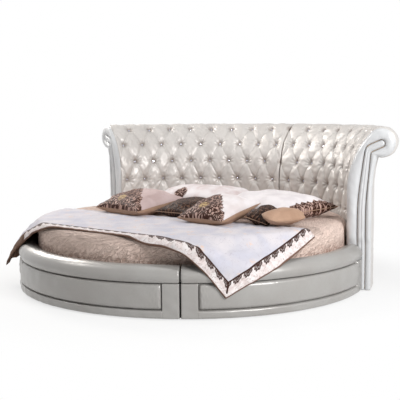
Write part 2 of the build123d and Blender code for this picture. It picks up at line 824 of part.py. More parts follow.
slat_pitch = 2 * slat_reach / (slat_count - 1)
slats = [slat(row * slat_pitch - slat_reach, side) for row in range(slat_count) for side in (-1, 1)]
nodes["slats"] = Compound(children=[each.solid() for each in slats])

beam_length = 2 * (rail_inner - bearer_width - beam_end_gap)
beam_bottom = slat_bottom - beam_height
nodes["middle_beam"] = Pos(0, 0, slat_bottom) * Box(
    beam_width, beam_length, beam_height, align=(Align.CENTER, Align.CENTER, Align.MAX)
)
hangers = [beam_hanger(side) for side in (-1, 1)]
nodes["beam_hangers"] = Compound(children=[hanger.solid() for hanger in hangers])
leg_places = (-leg_spacing, 0, leg_spacing)
legs = [upright(leg_radius, 0, y, glide_height, beam_bottom) for y in leg_places]
nodes["middle_legs"] = Compound(children=[leg.solid() for leg in legs])

# Glides under the middle legs, the segments and the headboard
glides = [upright(leg_glide_radius, 0, y, 0, glide_height) for y in leg_places]
glide_turn_shares = (0.08, 0.36, 0.64, 0.92)
foot_middle = (face_board_front + back_board_back) / 2
for start, radius in ((front_left, rail_middle), (front_right, rail_middle), (right_end, foot_middle)):
    for share in glide_turn_shares:
        place = at(start + share * sector_span, radius, 0)
        glides.append(upright(glide_radius, place.X, place.Y, 0, glide_height))
        if start != front_left:
            glides.append(upright(glide_radius, -place.X, place.Y, 0, glide_height))
nodes["glides"] = Compound(children=[glide.solid() for glide in glides])

# Mattress and bedding
mattress_bottom = slat_top + soft_gap
mattress_outline = outline(
    [
        (0, mattress_bottom),
        (mattress_radius, mattress_bottom),
        (mattress_radius, mattress_bottom + mattress_thickness),
        (0, mattress_bottom + mattress_thickness),
    ],
    [0, mattress_bottom_edge, mattress_top_edge, 0],
)
nodes["mattress"] = revolve(Plane.XZ * mattress_outline, Axis.Z)
spread_space = outline(
    [
        (0, mattress_bottom),
        (mattress_radius + soft_gap, mattress_bottom),
        (mattress_radius + soft_gap, spread_top - spread_thickness),
        (0, spread_top - spread_thickness),
    ],
    [0, 0, mattress_top_edge + soft_gap, 0],
)
spread_hem = mattress_bottom + mattress_bottom_edge
spread_shape = outline(
    [(0, spread_hem), (spread_radius, spread_hem), (spread_radius, spread_top), (0, spread_top)],
    [0, 0, mattress_top_edge + soft_gap + spread_thickness, 0],
)
nodes["bedspread"] = revolve(Plane.XZ * (spread_shape - spread_space), Axis.Z)
nodes["throw"] = make_throw()
make_pillows([nodes["bedspread"], nodes["throw"]])

for node_name, node in nodes.items():
    export_step(node, f"parts/{node_name}.step")
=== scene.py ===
"""Round upholstered bed: pearl leatherette base and buttoned headboard, with its bedding."""
import logging
from collections.abc import Callable, Sequence
from dataclasses import dataclass, field
from enum import Enum
from math import asin, atan2, cos, degrees, pi, radians, sin, sqrt, tan

import bmesh
import bpy
import numpy as np
from mathutils import Matrix, Vector


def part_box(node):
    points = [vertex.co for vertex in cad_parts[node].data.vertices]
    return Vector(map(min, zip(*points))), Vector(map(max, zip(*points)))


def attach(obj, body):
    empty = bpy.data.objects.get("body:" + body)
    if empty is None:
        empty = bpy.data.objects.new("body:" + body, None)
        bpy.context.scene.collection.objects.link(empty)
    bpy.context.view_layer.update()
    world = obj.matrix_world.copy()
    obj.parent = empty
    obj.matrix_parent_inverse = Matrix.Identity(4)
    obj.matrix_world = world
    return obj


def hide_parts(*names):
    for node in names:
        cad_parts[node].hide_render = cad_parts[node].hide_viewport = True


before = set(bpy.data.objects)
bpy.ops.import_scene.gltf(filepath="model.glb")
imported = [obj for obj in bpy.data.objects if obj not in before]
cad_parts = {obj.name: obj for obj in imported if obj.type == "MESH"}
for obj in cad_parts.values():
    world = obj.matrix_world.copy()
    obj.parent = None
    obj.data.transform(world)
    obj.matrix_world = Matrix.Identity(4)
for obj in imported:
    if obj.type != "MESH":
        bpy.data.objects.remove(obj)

LOG = logging.getLogger("round_bed")
Array = np.ndarray
Pair = tuple[float, float]
Paint = tuple[float, float, float]
Material = bpy.types.Material
Mesh = bpy.types.Mesh
Node = bpy.types.Node
Socket = bpy.types.NodeSocket
Tree = bpy.types.NodeTree
WAVES = 7
CORD_SIDES = 8
CLOTH_GLOSS = 0.15
THREAD_HEIGHT = 0.0006

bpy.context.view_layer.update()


# Shared sizes, in metres

@dataclass(frozen=True)
class Rings:
    """Circles, heights and seams that several parts share."""

    mattress: float = 0.992
    spread: float = 1.0
    spread_top: float = 0.4256
    rim: float = 1.0003
    rail_outer: float = 1.080
    panel: float = 1.120
    crest: float = 0.290
    head: float = 1.022
    back: float = 1.168
    head_end: float = 18.0
    front_seam: float = -54.0
    half_seam: float = 0.004
    head_gap: float = 0.0003


RINGS = Rings()


# Small numeric helpers

def polar(theta: Array | float, radius: Array | float, height: Array | float) -> Array:
    """Points about the bed's upright axis, by angle in degrees, radius and height."""
    turn = np.radians(theta)
    return np.stack(np.broadcast_arrays(radius * np.cos(turn), radius * np.sin(turn), height), axis=-1)


def pairs(first: Array | float, second: Array | float) -> Array:
    """Two arrays as one of pairs, each stretched to fit the other."""
    return np.stack(np.broadcast_arrays(first, second), axis=-1)


def arc(theta: Array | float, radius: Array | float = 1.0) -> Array:
    """Length of an arc of so many degrees."""
    return theta * radians(1) * radius


def from_ends(theta: Array, low: Array | float, high: Array | float, radius: Array | float) -> Array:
    """Length along an arc to the nearer of its two ends."""
    return arc(np.minimum(theta - low, high - theta), radius)


def ease(value: Array | float, low: float, high: float) -> Array:
    """A smooth rise from 0 at low to 1 at high."""
    share = np.clip((np.asarray(value, float) - low) / (high - low), 0, 1)
    return share * share * (3 - 2 * share)


def bell(value: Array, width: float) -> Array:
    """A bump that is 1 at 0 and dies away past its width."""
    return np.exp(-((value / width) ** 2))


def unit(ways: Array) -> Array:
    """The same directions, each with a length of one."""
    return ways / np.linalg.norm(ways, axis=-1, keepdims=True)


def lengths(line: Array) -> Array:
    """How far along a line each of its points lies."""
    return np.concatenate([[0], np.cumsum(np.linalg.norm(np.diff(line, axis=0), axis=1))])


def read_line(line: Array, wanted: Array) -> Array:
    """Points of a line at given lengths along it."""
    run = lengths(line)
    return np.stack([np.interp(wanted, run, part) for part in line.T], axis=1)


def left_of(line: Array) -> Array:
    """Directions square to a flat line, to its left."""
    ahead = unit(np.gradient(line, axis=0))
    return np.stack([-ahead[:, 1], ahead[:, 0]], axis=1)


def border(grid: Array) -> Array:
    """The outermost entries of a grid, in order round it."""
    return np.concatenate([grid[0, :-1], grid[:-1, -1], grid[-1, :0:-1], grid[:0:-1, 0]])


def blurred(rows: Array, reach: int, width: float, **padding: str) -> Array:
    """Rows of values, each evened out with its neighbours.

    Args:
        rows: The values.
        reach: How many neighbours count on each side.
        width: How far their share dies away.
        padding: How the rows go on past their ends.

    Returns:
        The evened rows.
    """
    kernel = bell(np.arange(-reach, reach + 1), width)
    kernel /= kernel.sum()
    wide = np.pad(rows, ((reach, reach), (0, 0)), **padding)
    return np.stack([np.convolve(part, kernel, "valid") for part in wide.T], axis=1)


def ripples(points: Array, length: float, seed: int) -> Array:
    """Soft, irregular waves through space, about -1 to 1.

    Args:
        points: Where to read the waves, coordinates last.
        length: The typical wavelength.
        seed: Which pattern.

    Returns:
        The height of the waves at each point.
    """
    rng = np.random.default_rng(seed)
    total = np.zeros(points.shape[:-1])
    for _ in range(WAVES):
        way = rng.normal(size=points.shape[-1])
        way *= 2 * pi / (np.linalg.norm(way) * length * rng.uniform(0.7, 1.5))
        total += np.sin(points @ way + rng.uniform(0, 2 * pi))
    return total / sqrt(WAVES)


def edge_fall(distance: Array, radius: float) -> Array:
    """How far a rounded edge falls back, from its radius at the edge to 0 inside."""
    short = np.clip(radius - distance, 0, radius)
    return radius - np.sqrt(np.maximum(radius**2 - short**2, 0))


def rounded(points: Sequence[Pair], bends: Sequence[float], closed: bool = False, step: float = 0.004) -> Array:
    """A line through points with rounded corners.

    Args:
        points: The corners.
        bends: The rounding at each corner.
        closed: Whether the line comes back to its start.
        step: Spacing of points on a rounding.

    Returns:
        The points of the rounded line.
    """
    corners = [np.array(point, float) for point in points]
    line: list[Array] = []
    for index, corner in enumerate(corners):
        before = corners[index - 1] if index or closed else None
        after = corners[(index + 1) % len(corners)] if index + 1 < len(corners) or closed else None
        if before is None or after is None or bends[index] <= 0:
            line.append(corner)
            continue
        into, out = unit(before - corner), unit(after - corner)
        half = np.arccos(np.clip(into @ out, -1, 1)) / 2
        reach = bends[index] / tan(half)
        middle = corner + unit(into + out) * bends[index] / sin(half)
        first, last = corner + into * reach - middle, corner + out * reach - middle
        sweep = pi - 2 * half
        turns = max(2, int(bends[index] * sweep / step) + 1)
        for share in np.linspace(0, 1, turns + 1):
            shares = sin((1 - share) * sweep) / sin(sweep), sin(share * sweep) / sin(sweep)
            line.append(middle + (shares[0] * first + shares[1] * last))
    return np.array(line)


def resample(line: Array, count: int, closed: bool = False) -> Array:
    """Evenly spaced points along a line.

    Args:
        line: The line's points.
        count: How many points to give back.
        closed: Whether the line comes back to its start.

    Returns:
        The evenly spaced points.
    """
    if closed:
        line = np.vstack([line, line[:1]])
    return read_line(line, np.linspace(0, lengths(line)[-1], count, endpoint=not closed))


def dense_edges(low: float, high: float, margin: float, fine: int, coarse: int) -> Array:
    """Values from low to high, closely spaced near both ends.

    Args:
        low: First value.
        high: Last value.
        margin: How wide the closely spaced strips are.
        fine: How many steps each strip has.
        coarse: How many steps lie between them.

    Returns:
        The values.
    """
    start = low + margin * (1 - np.cos(np.linspace(0, pi / 2, fine + 1)))[:-1]
    end = high - margin * (1 - np.cos(np.linspace(pi / 2, 0, fine + 1)))[1:]
    return np.concatenate([start, np.linspace(low + margin, high - margin, coarse + 1), end])


# Mesh building

def grid_faces(index: Array) -> Array:
    """Four-cornered faces between the rows and columns of an index grid."""
    return np.stack([index[:-1, :-1], index[:-1, 1:], index[1:, 1:], index[1:, :-1]], axis=-1).reshape(-1, 4)


def build_mesh(name: str, points: Array, faces: Sequence[Array], uvs: Sequence[Array], smooth: bool = True) -> Mesh:
    """A mesh with outward faces and one set of cloth coordinates.

    Args:
        name: The mesh's name.
        points: Its vertices.
        faces: Arrays of vertex numbers, one row a face.
        uvs: For each array of faces, the coordinates at each corner.
        smooth: Whether the faces are shaded smooth.

    Returns:
        The mesh.
    """
    mesh = bpy.data.meshes.new(name)
    loops = np.concatenate([block.reshape(-1) for block in faces]).astype(np.int32)
    sizes = np.concatenate([np.full(len(block), block.shape[1]) for block in faces])
    starts = np.concatenate([[0], np.cumsum(sizes)[:-1]]).astype(np.int32)
    mesh.vertices.add(len(points))
    mesh.vertices.foreach_set("co", np.ascontiguousarray(points, np.float32).reshape(-1))
    mesh.loops.add(len(loops))
    mesh.loops.foreach_set("vertex_index", loops)
    mesh.polygons.add(len(sizes))
    mesh.polygons.foreach_set("loop_start", starts)
    mesh.update(calc_edges=True)
    layer = mesh.uv_layers.new(name="UVMap")
    layer.data.foreach_set("uv", np.concatenate([block.reshape(-1) for block in uvs]).astype(np.float32))
    work = bmesh.new()
    work.from_mesh(mesh)
    bmesh.ops.recalc_face_normals(work, faces=work.faces)
    work.to_mesh(mesh)
    work.free()
    mesh.polygons.foreach_set("use_smooth", np.full(len(sizes), smooth))
    mesh.validate()
    mesh.update()
    return mesh


def shell(name: str, front: Array, back: Array, uv: Array) -> Mesh:
    """A closed pad or sheet between two surfaces of the same grid.

    Args:
        name: The mesh's name.
        front: Rows and columns of points on the outside.
        back: The same on the inside.
        uv: Cloth coordinates of the grid.

    Returns:
        The mesh.
    """
    index = np.arange(front.shape[0] * front.shape[1]).reshape(front.shape[:2])
    other = index + index.size
    rim = border(index)
    follow = np.roll(rim, -1)
    sides = np.stack([rim, follow, follow + index.size, rim + index.size], axis=1)
    faces = np.concatenate([grid_faces(index), grid_faces(other)[:, ::-1], sides])
    flat = np.concatenate([uv.reshape(-1, 2)] * 2)
    points = np.concatenate([front.reshape(-1, 3), back.reshape(-1, 3)])
    return build_mesh(name, points, [faces], [flat[faces]])


def spun(name: str, rows: Array, first: Array, last: Array, uv: Array) -> Mesh:
    """A closed surface of ring-shaped rows, shut by a point at each end.

    Args:
        name: The mesh's name.
        rows: Rows of points, each row a closed loop.
        first: The point that shuts the first row.
        last: The point that shuts the last row.
        uv: Cloth coordinates, with one column more than the rows have.

    Returns:
        The mesh.
    """
    high, wide = rows.shape[:2]
    index = np.arange(high * wide).reshape(high, wide)
    index = np.concatenate([index, index[:, :1]], axis=1)
    places = np.arange(high * (wide + 1)).reshape(high, wide + 1)
    quads, quad_places = grid_faces(index), grid_faces(places)
    flat = uv.reshape(-1, 2)
    fans, fan_uvs = [], []
    for row, pole in ((0, high * wide), (high - 1, high * wide + 1)):
        fans.append(np.stack([index[row, :-1], index[row, 1:], np.full(wide, pole)], axis=1))
        near = flat[places[row, :-1]], flat[places[row, 1:]]
        fan_uvs.append(np.stack([near[0], near[1], (near[0] + near[1]) / 2], axis=1))
    points = np.concatenate([rows.reshape(-1, 3), [first, last]])
    faces = [quads, np.concatenate(fans)]
    return build_mesh(name, points, faces, [flat[quad_places], np.concatenate(fan_uvs)])


def tube(name: str, path: Array, radius: float, closed: bool = False) -> Mesh:
    """A round cord of piping along a path.

    Args:
        name: The mesh's name.
        path: The path's points.
        radius: The cord's radius.
        closed: Whether the path comes back to its start.

    Returns:
        The mesh.
    """
    ahead = np.roll(path, -1, axis=0) - np.roll(path, 1, axis=0)
    if not closed:
        ahead[0], ahead[-1] = path[1] - path[0], path[-1] - path[-2]
    ahead = unit(ahead)
    side = np.cross(ahead, np.array([0.013, 0.021, 1.0]))
    flat = np.linalg.norm(side, axis=1) < 0.3
    side[flat] = np.cross(ahead[flat], np.array([1.0, 0.3, 0.0]))
    side = unit(side)
    up = np.cross(side, ahead)
    turns = np.linspace(0, 2 * pi, CORD_SIDES, endpoint=False)
    ring = np.cos(turns)[None, :, None] * side[:, None] + np.sin(turns)[None, :, None] * up[:, None]
    rows = path[:, None] + radius * ring
    uv = pairs(np.linspace(0, 1, len(path))[:, None], np.linspace(0, 1, CORD_SIDES + 1)[None])
    if not closed:
        return spun(name, rows, path[0], path[-1], uv)
    index = np.arange(len(path) * CORD_SIDES).reshape(rows.shape[:2])
    faces = grid_faces(np.pad(index, ((0, 1), (0, 1)), mode="wrap"))
    return build_mesh(name, rows.reshape(-1, 3), [faces], [np.zeros((len(faces), 4, 2))])


def flipped(points: Array) -> Array:
    """The same points on the other side of the bed."""
    return points * np.array([-1.0, 1.0, 1.0])


def linked(name: str, data: bpy.types.ID) -> bpy.types.Object:
    """Puts a new object into the scene.

    Args:
        name: Its name.
        data: Its mesh, lamp or camera.

    Returns:
        The object.
    """
    made = bpy.data.objects.new(name, data)
    bpy.context.scene.collection.objects.link(made)
    return made


def place(
    name: str,
    mesh: Mesh,
    material: Material,
    replaces: Sequence[str] = (),
    matrix: Matrix | None = None,
) -> bpy.types.Object:
    """Puts a piece into the scene, dressed and riding with the bed.

    Args:
        name: The piece's name.
        mesh: Its mesh.
        material: Its finish.
        replaces: Frame nodes that it stands for.
        matrix: Where it stands, when its mesh is built about its own middle.

    Returns:
        The object.
    """
    piece = linked(name, mesh)
    if matrix is not None:
        piece.matrix_world = matrix
    mesh.materials.clear()
    mesh.materials.append(material)
    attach(piece, "root")
    if replaces:
        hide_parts(*replaces)
    LOG.info("%s: %d faces", name, len(mesh.polygons))
    return piece


# Shader building

def paint(red: int, green: int, blue: int) -> Paint:
    """A colour as seen on a screen, as the renderer's linear light."""
    parts = (red / 255, green / 255, blue / 255)
    return tuple(part / 12.92 if part <= 0.04045 else ((part + 0.055) / 1.055) ** 2.4 for part in parts)


@dataclass(frozen=True)
class Signal:
    """A value in a shader tree that is reckoned with like a number."""

    graph: "Graph"
    socket: Socket

    def __add__(self, other: "Feed") -> "Signal":
        """This value and another."""
        return self.graph.math("ADD", self, other)

    def __radd__(self, other: "Feed") -> "Signal":
        """A number and this value."""
        return self.graph.math("ADD", other, self)

    def __sub__(self, other: "Feed") -> "Signal":
        """This value less another."""
        return self.graph.math("SUBTRACT", self, other)

    def __rsub__(self, other: "Feed") -> "Signal":
        """A number less this value."""
        return self.graph.math("SUBTRACT", other, self)

    def __mul__(self, other: "Feed") -> "Signal":
        """This value times another."""
        return self.graph.math("MULTIPLY", self, other)

    def __truediv__(self, other: "Feed") -> "Signal":
        """This value over another."""
        return self.graph.math("DIVIDE", self, other)

    def __rtruediv__(self, other: "Feed") -> "Signal":
        """A number over this value."""
        return self.graph.math("DIVIDE", other, self)

    def __abs__(self) -> "Signal":
        """This value without its sign."""
        return self.graph.math("ABSOLUTE", self)


Feed = Signal | float | Sequence[float]


@dataclass
class Graph:
    """Adds and joins the nodes of one shader tree."""

    tree: Tree

    def feed(self, socket: Socket, value: Feed) -> None:
        """Joins an input to a signal, or sets it.

        Args:
            socket: The input.
            value: A signal, a number or a colour.
        """
        if isinstance(value, Signal):
            self.tree.links.new(value.socket, socket)
        elif socket.type == "RGBA":
            socket.default_value = (*value[:3], 1.0)
        else:
            socket.default_value = value

    def dress(self, node: Node, feeds: dict[str | int, Feed]) -> None:
        """Feeds several inputs of a node, by name or number."""
        for key, value in feeds.items():
            self.feed(node.inputs[key], value)

    def node(self, kind: str, feeds: dict[str | int, Feed], **settings: object) -> Node:
        """Adds a node.

        Args:
            kind: The node's type name.
            feeds: Its inputs by name or number.
            settings: Its other properties.

        Returns:
            The node.
        """
        made = self.tree.nodes.new(kind)
        for key, value in settings.items():
            setattr(made, key, value)
        self.dress(made, feeds)
        return made

    def signal(self, kind: str, feeds: dict[str | int, Feed], output: str | int = 0, **settings: object) -> Signal:
        """Adds a node and gives one of its outputs."""
        return Signal(self, self.node(kind, feeds, **settings).outputs[output])

    def math(self, operation: str, first: Feed, second: Feed = 0.0, clamp: bool = False) -> Signal:
        """One step of arithmetic on one or two values."""
        return self.signal("ShaderNodeMath", {0: first, 1: second}, operation=operation, use_clamp=clamp)

    def vector(self, operation: str, feeds: dict[str | int, Feed], output: str = "Vector") -> Signal:
        """One step of arithmetic on vectors."""
        return self.signal("ShaderNodeVectorMath", feeds, output, operation=operation)

    def mix(self, share: Feed, first: Feed, second: Feed) -> Signal:
        """The first colour, turning into the second as the share grows."""
        return self.signal("ShaderNodeMix", {0: share, 6: first, 7: second}, 2, data_type="RGBA")

    def rise(self, value: Feed, low: Feed, high: Feed, start: float = 0.0, end: float = 1.0) -> Signal:
        """A smooth change from start, where the value is low, to end, where it is high."""
        feeds = {0: value, 1: low, 2: high, 3: start, 4: end}
        return self.signal("ShaderNodeMapRange", feeds, interpolation_type="SMOOTHSTEP")

    def noise(self, spot: Feed, scale: Feed, detail: float = 2.0, twist: float = 0.0) -> Signal:
        """Cloudy noise from 0 to 1, so many clouds to the metre."""
        feeds = {"Vector": spot, "Scale": scale, "Detail": detail, "Distortion": twist}
        return self.signal("ShaderNodeTexNoise", feeds)

    def cells(self, spot: Feed, scale: Feed, feature: str = "F1") -> Signal:
        """Distance within scattered cells, so many to the metre."""
        return self.signal("ShaderNodeTexVoronoi", {"Vector": spot, "Scale": scale}, "Distance", feature=feature)

    def moved(
        self, spot: Feed, shift: Sequence[float] = (0, 0, 0), turn: float = 0.0, scale: Sequence[float] = (1, 1, 1)
    ) -> Signal:
        """Coordinates shifted, turned about z in degrees and stretched."""
        feeds = {"Vector": spot, "Location": shift, "Rotation": (0, 0, radians(turn)), "Scale": scale}
        return self.signal("ShaderNodeMapping", feeds)

    def split(self, spot: Feed) -> tuple[Signal, ...]:
        """The three parts of a vector."""
        return tuple(Signal(self, part) for part in self.node("ShaderNodeSeparateXYZ", {0: spot}).outputs)

    def bump(self, height: Feed, strength: float, distance: float, normal: Signal | None = None) -> Signal:
        """A bumped normal, laid over another one where that is given."""
        feeds = {"Height": height, "Strength": strength, "Distance": distance}
        return self.signal("ShaderNodeBump", feeds | ({"Normal": normal} if normal else {}))

    def spot(self, kind: str) -> Signal:
        """Coordinates of a kind, such as Object or UV."""
        return self.signal("ShaderNodeTexCoord", {}, kind)

    def seen(self) -> Signal:
        """Where the eye, a reflection or a view through glass looks.

        Returns:
            A mask.
        """
        rays = self.node("ShaderNodeLightPath", {}).outputs
        eye, mirror, glass = (Signal(self, rays[f"Is {kind} Ray"]) for kind in ("Camera", "Glossy", "Transmission"))
        return self.math("MAXIMUM", self.math("MAXIMUM", eye, mirror), glass)

    def group(self, tree: Tree, **feeds: Feed) -> dict[str, Signal]:
        """Places a shared effect and gives its outputs by name."""
        made = self.node("ShaderNodeGroup", feeds, node_tree=tree)
        return {output.name: Signal(self, output) for output in made.outputs}


def make_group(
    name: str,
    inputs: dict[str, float | Paint | None],
    outputs: Sequence[str],
    fill: Callable[[Graph, dict[str, Signal]], dict[str, Feed]],
) -> Tree:
    """Builds a shared effect as a node group.

    Args:
        name: The group's name.
        inputs: Name to starting value, which is none for a vector.
        outputs: Names; Colour is a colour and the rest are values.
        fill: Builds the inside and gives back what feeds each output.

    Returns:
        The node group.
    """
    tree = bpy.data.node_groups.new(name, "ShaderNodeTree")
    for key, start in inputs.items():
        kind = "Vector" if start is None else "Color" if isinstance(start, tuple) else "Float"
        socket = tree.interface.new_socket(key, in_out="INPUT", socket_type="NodeSocket" + kind)
        if start is not None:
            socket.default_value = (*start, 1.0) if kind == "Color" else start
    for key in outputs:
        kind = "Color" if key == "Colour" else "Float"
        tree.interface.new_socket(key, in_out="OUTPUT", socket_type="NodeSocket" + kind)
    graph = Graph(tree)
    given = {output.name: Signal(graph, output) for output in graph.node("NodeGroupInput", {}).outputs}
    graph.dress(graph.node("NodeGroupOutput", {}), fill(graph, given))
    return tree


def fill_skin_grain(graph: Graph, given: dict[str, Signal]) -> dict[str, Feed]:
    """Fine pebbled grain with hair creases.

    Args:
        graph: The group's graph.
        given: The group's inputs.

    Returns:
        Height and mask.
    """
    pebbles = graph.cells(given["Vector"], given["Scale"], "SMOOTH_F1")
    coarse = graph.noise(given["Vector"], given["Scale"] * 0.09, 3.0, 0.4)
    creases = graph.rise(abs(coarse - 0.5), 0.0, 0.06)
    return {"Height": pebbles * 0.35 + creases * given["Creases"], "Mask": creases}


def fill_weave(graph: Graph, given: dict[str, Signal]) -> dict[str, Feed]:
    """Crossing threads with slubs.

    Args:
        graph: The group's graph.
        given: The group's inputs.

    Returns:
        Height and mask.
    """
    across, along, _ = graph.split(given["Vector"])
    waves = [graph.math("SINE", axis * (given["Threads"] * (2 * pi))) for axis in (across, along)]
    crossing = waves[0] * waves[1]
    slub = graph.noise(graph.moved(given["Vector"], scale=(1, 7, 1)), given["Threads"] * 0.12)
    return {"Height": crossing * 0.3 + slub * given["Slub"], "Mask": crossing * 0.5 + 0.5}


def fill_drift(graph: Graph, given: dict[str, Signal]) -> dict[str, Feed]:
    """Slow colour change over a surface."""
    cloud = graph.rise(graph.noise(given["Vector"], given["Scale"], 3.0, 0.3), 0.3, 0.7)
    return {"Colour": graph.mix(cloud * given["Amount"], given["Colour"], given["Second"])}


def fill_lace(graph: Graph, given: dict[str, Signal]) -> dict[str, Feed]:
    """Curled lace: petals and scrolls with holes between them.

    Args:
        graph: The group's graph.
        given: The group's inputs.

    Returns:
        The lace mask.
    """
    feeds = {"Vector": given["Vector"], "Scale": given["Scale"] * 0.6, "Detail": 1.0}
    bend = graph.vector("SUBTRACT", {0: graph.signal("ShaderNodeTexNoise", feeds, 1), 1: (0.5, 0.5, 0.5)})
    bend = graph.vector("SCALE", {0: bend, "Scale": 0.9 / given["Scale"]})
    spot = graph.vector("ADD", {0: given["Vector"], 1: bend})
    rings = graph.math("SINE", graph.cells(spot, given["Scale"]) * 17.0)
    threads = graph.cells(spot, given["Scale"] * 1.7, "DISTANCE_TO_EDGE")
    solid = graph.math("MAXIMUM", graph.rise(rings, -0.15, 0.2), graph.rise(threads, 0.10, 0.06))
    return {"Mask": graph.math("MULTIPLY", solid, given["Density"], True)}


def fill_boards(graph: Graph, given: dict[str, Signal]) -> dict[str, Feed]:
    """Grain lines of sawn wood.

    Args:
        graph: The group's graph.
        given: The group's inputs.

    Returns:
        Height and mask.
    """
    lines = graph.noise(graph.moved(given["Vector"], scale=(1, 1, 6)), given["Scale"], 5.0, 1.2)
    fine = graph.noise(graph.moved(given["Vector"], scale=(2, 2, 30)), given["Scale"] * 3.0, 3.0)
    mask = graph.rise(lines * 0.7 + fine * 0.3, 0.35, 0.65)
    return {"Height": mask, "Mask": mask}


def fill_tufts(graph: Graph, given: dict[str, Signal]) -> dict[str, Feed]:
    """Soft shade in the hollows round a staggered grid of buttons.

    Args:
        graph: The group's graph.
        given: The group's inputs; the vector counts buttons across and rows up.

    Returns:
        The shade's mask.
    """
    across, up, _ = graph.split(given["Vector"])
    reaches = []
    for shift in (0.0, 0.5):
        squares = []
        for value, size in ((across + shift, given["Across"]), (up * 0.5 + shift, given["Up"] * 2.0)):
            off = graph.math("FRACT", value + 0.5) - 0.5
            squares.append(graph.math("POWER", abs(off * size), 2.0))
        reaches.append(graph.math("SQRT", squares[0] + squares[1]))
    torn = (graph.noise(given["Vector"], 9.0, 2.0, 1.0) - 0.5) * 0.022
    shade = graph.rise(graph.math("MINIMUM", reaches[0], reaches[1]) + torn, 0.030, 0.004)
    return {"Mask": shade * graph.rise(up, 4.35, 4.2)}


@dataclass(frozen=True)
class Effects:
    """The shared effects, built once."""

    grain: Tree
    weave: Tree
    drift: Tree
    lace: Tree
    boards: Tree
    tufts: Tree


def make_effects() -> Effects:
    """Builds every shared effect.

    Returns:
        The effects.
    """
    both = ("Height", "Mask")
    colours = {"Colour": (0.8, 0.8, 0.8), "Second": (0.6, 0.6, 0.6)}
    return Effects(
        make_group("skin_grain", {"Vector": None, "Scale": 700.0, "Creases": 0.6}, both, fill_skin_grain),
        make_group("thread_weave", {"Vector": None, "Threads": 500.0, "Slub": 0.4}, both, fill_weave),
        make_group("colour_drift", {"Vector": None, **colours, "Scale": 4.0, "Amount": 0.5}, ("Colour",), fill_drift),
        make_group("lace_scrolls", {"Vector": None, "Scale": 30.0, "Density": 1.0}, ("Mask",), fill_lace),
        make_group("board_grain", {"Vector": None, "Scale": 20.0}, both, fill_boards),
        make_group("tuft_shade", {"Vector": None, "Across": 0.14, "Up": 0.13}, ("Mask",), fill_tufts),
    )


def new_material(name: str) -> tuple[Material, Graph, Node]:
    """An empty material with its main shader.

    Args:
        name: The material's name.

    Returns:
        The material, its graph and its Principled shader.
    """
    material = bpy.data.materials.new(name)
    material.use_nodes = True
    return material, Graph(material.node_tree), material.node_tree.nodes["Principled BSDF"]


@dataclass(frozen=True)
class Leatherette:
    """Coated cloth with a pearl sheen, fine grain and soft creases."""

    name: str
    colour: Paint
    shade: Paint
    roughness: float = 0.40
    metallic: float = 0.12
    coat: float = 0.08
    coat_roughness: float = 0.28
    grain_scale: float = 650.0
    grain_height: float = 0.00025
    crease_scale: float = 26.0
    crease_height: float = 0.0010
    worn: float = 0.12
    # Colour of the painted shade in the button hollows; none leaves it out.
    pit_shade_colour: Paint | None = None

    def material(self, effects: Effects) -> Material:
        """Builds the finish.

        Args:
            effects: The shared effects.

        Returns:
            The material.
        """
        material, graph, shader = new_material(self.name)
        spot = graph.spot("Object")
        drift = graph.group(effects.drift, Vector=spot, Colour=self.colour, Second=self.shade, Scale=3.5, Amount=0.35)
        grain = graph.group(effects.grain, Vector=spot, Scale=self.grain_scale, Creases=0.12)
        colour = graph.mix((1.0 - grain["Mask"]) * self.worn, drift["Colour"], self.shade)
        # Painted shade: the hollows round the buttons are darkened toward the pit shade colour.
        if self.pit_shade_colour is not None:
            hollow_shade = graph.group(effects.tufts, Vector=graph.spot("UV"))
            colour = graph.mix(hollow_shade["Mask"] * 0.75, colour, self.pit_shade_colour)
        rough = graph.noise(spot, 12.0, 3.0)
        soft = graph.bump(graph.noise(spot, self.crease_scale, 2.0, 0.8), 0.5, self.crease_height)
        feeds = {
            "Base Color": colour,
            "Roughness": graph.rise(rough, 0.25, 0.75, self.roughness - 0.05, self.roughness + 0.07),
            "Metallic": self.metallic,
            "Coat Weight": self.coat,
            "Coat Roughness": self.coat_roughness,
            "Normal": graph.bump(grain["Height"], 0.6, self.grain_height, soft),
        }
        graph.dress(shader, feeds)
        return material


@dataclass(frozen=True)
class Woven:
    """Plain cloth with a visible weave and slow colour change."""

    name: str
    colour: Paint
    shade: Paint
    threads: float = 420.0
    slub: float = 0.5
    roughness: float = 0.8
    sheen: float = 0.25
    weave_height: float = 0.0004
    brush_turn: float = 32.0
    brush_height: float = 0.0

    def material(self, effects: Effects) -> Material:
        """Builds the finish.

        Args:
            effects: The shared effects.

        Returns:
            The material.
        """
        material, graph, shader = new_material(self.name)
        spot = graph.spot("UV")
        drift = graph.group(effects.drift, Vector=spot, Colour=self.colour, Second=self.shade, Scale=5.0, Amount=0.15)
        weave = graph.group(effects.weave, Vector=spot, Threads=self.threads, Slub=self.slub)
        colour = graph.mix(weave["Mask"] * 0.15, drift["Colour"], self.shade)
        bump = graph.bump(weave["Height"], 0.6, self.weave_height)
        if self.brush_height:
            turned = graph.moved(graph.moved(spot, turn=self.brush_turn), scale=(1.0, 2.3, 1.0))
            brush = graph.rise(abs(graph.noise(turned, 24.0, 2.0, 0.7) - 0.5), 0.13, 0.0)
            _, down, _ = graph.split(spot)
            uneven = graph.rise(graph.noise(spot, 6.0, 1.0), 0.3, 0.7, 0.7, 1.0)
            # Painted shade: the side darkens toward the hem, patchily and least on the brush ridges.
            painted_side_shade = graph.rise(down, 1.01, 1.13, 0.10, 0.95) * uneven
            colour = graph.mix(graph.math("MULTIPLY", 1.15 - brush, painted_side_shade, True), colour, self.shade)
            bump = graph.bump(brush, 0.9, self.brush_height, bump)
        feeds = {
            "Base Color": colour,
            "Roughness": graph.rise(weave["Mask"], 0.0, 1.0, self.roughness - 0.06, self.roughness + 0.06),
            "Sheen Weight": self.sheen,
            "Specular IOR Level": CLOTH_GLOSS,
            "Normal": bump,
        }
        graph.dress(shader, feeds)
        return material


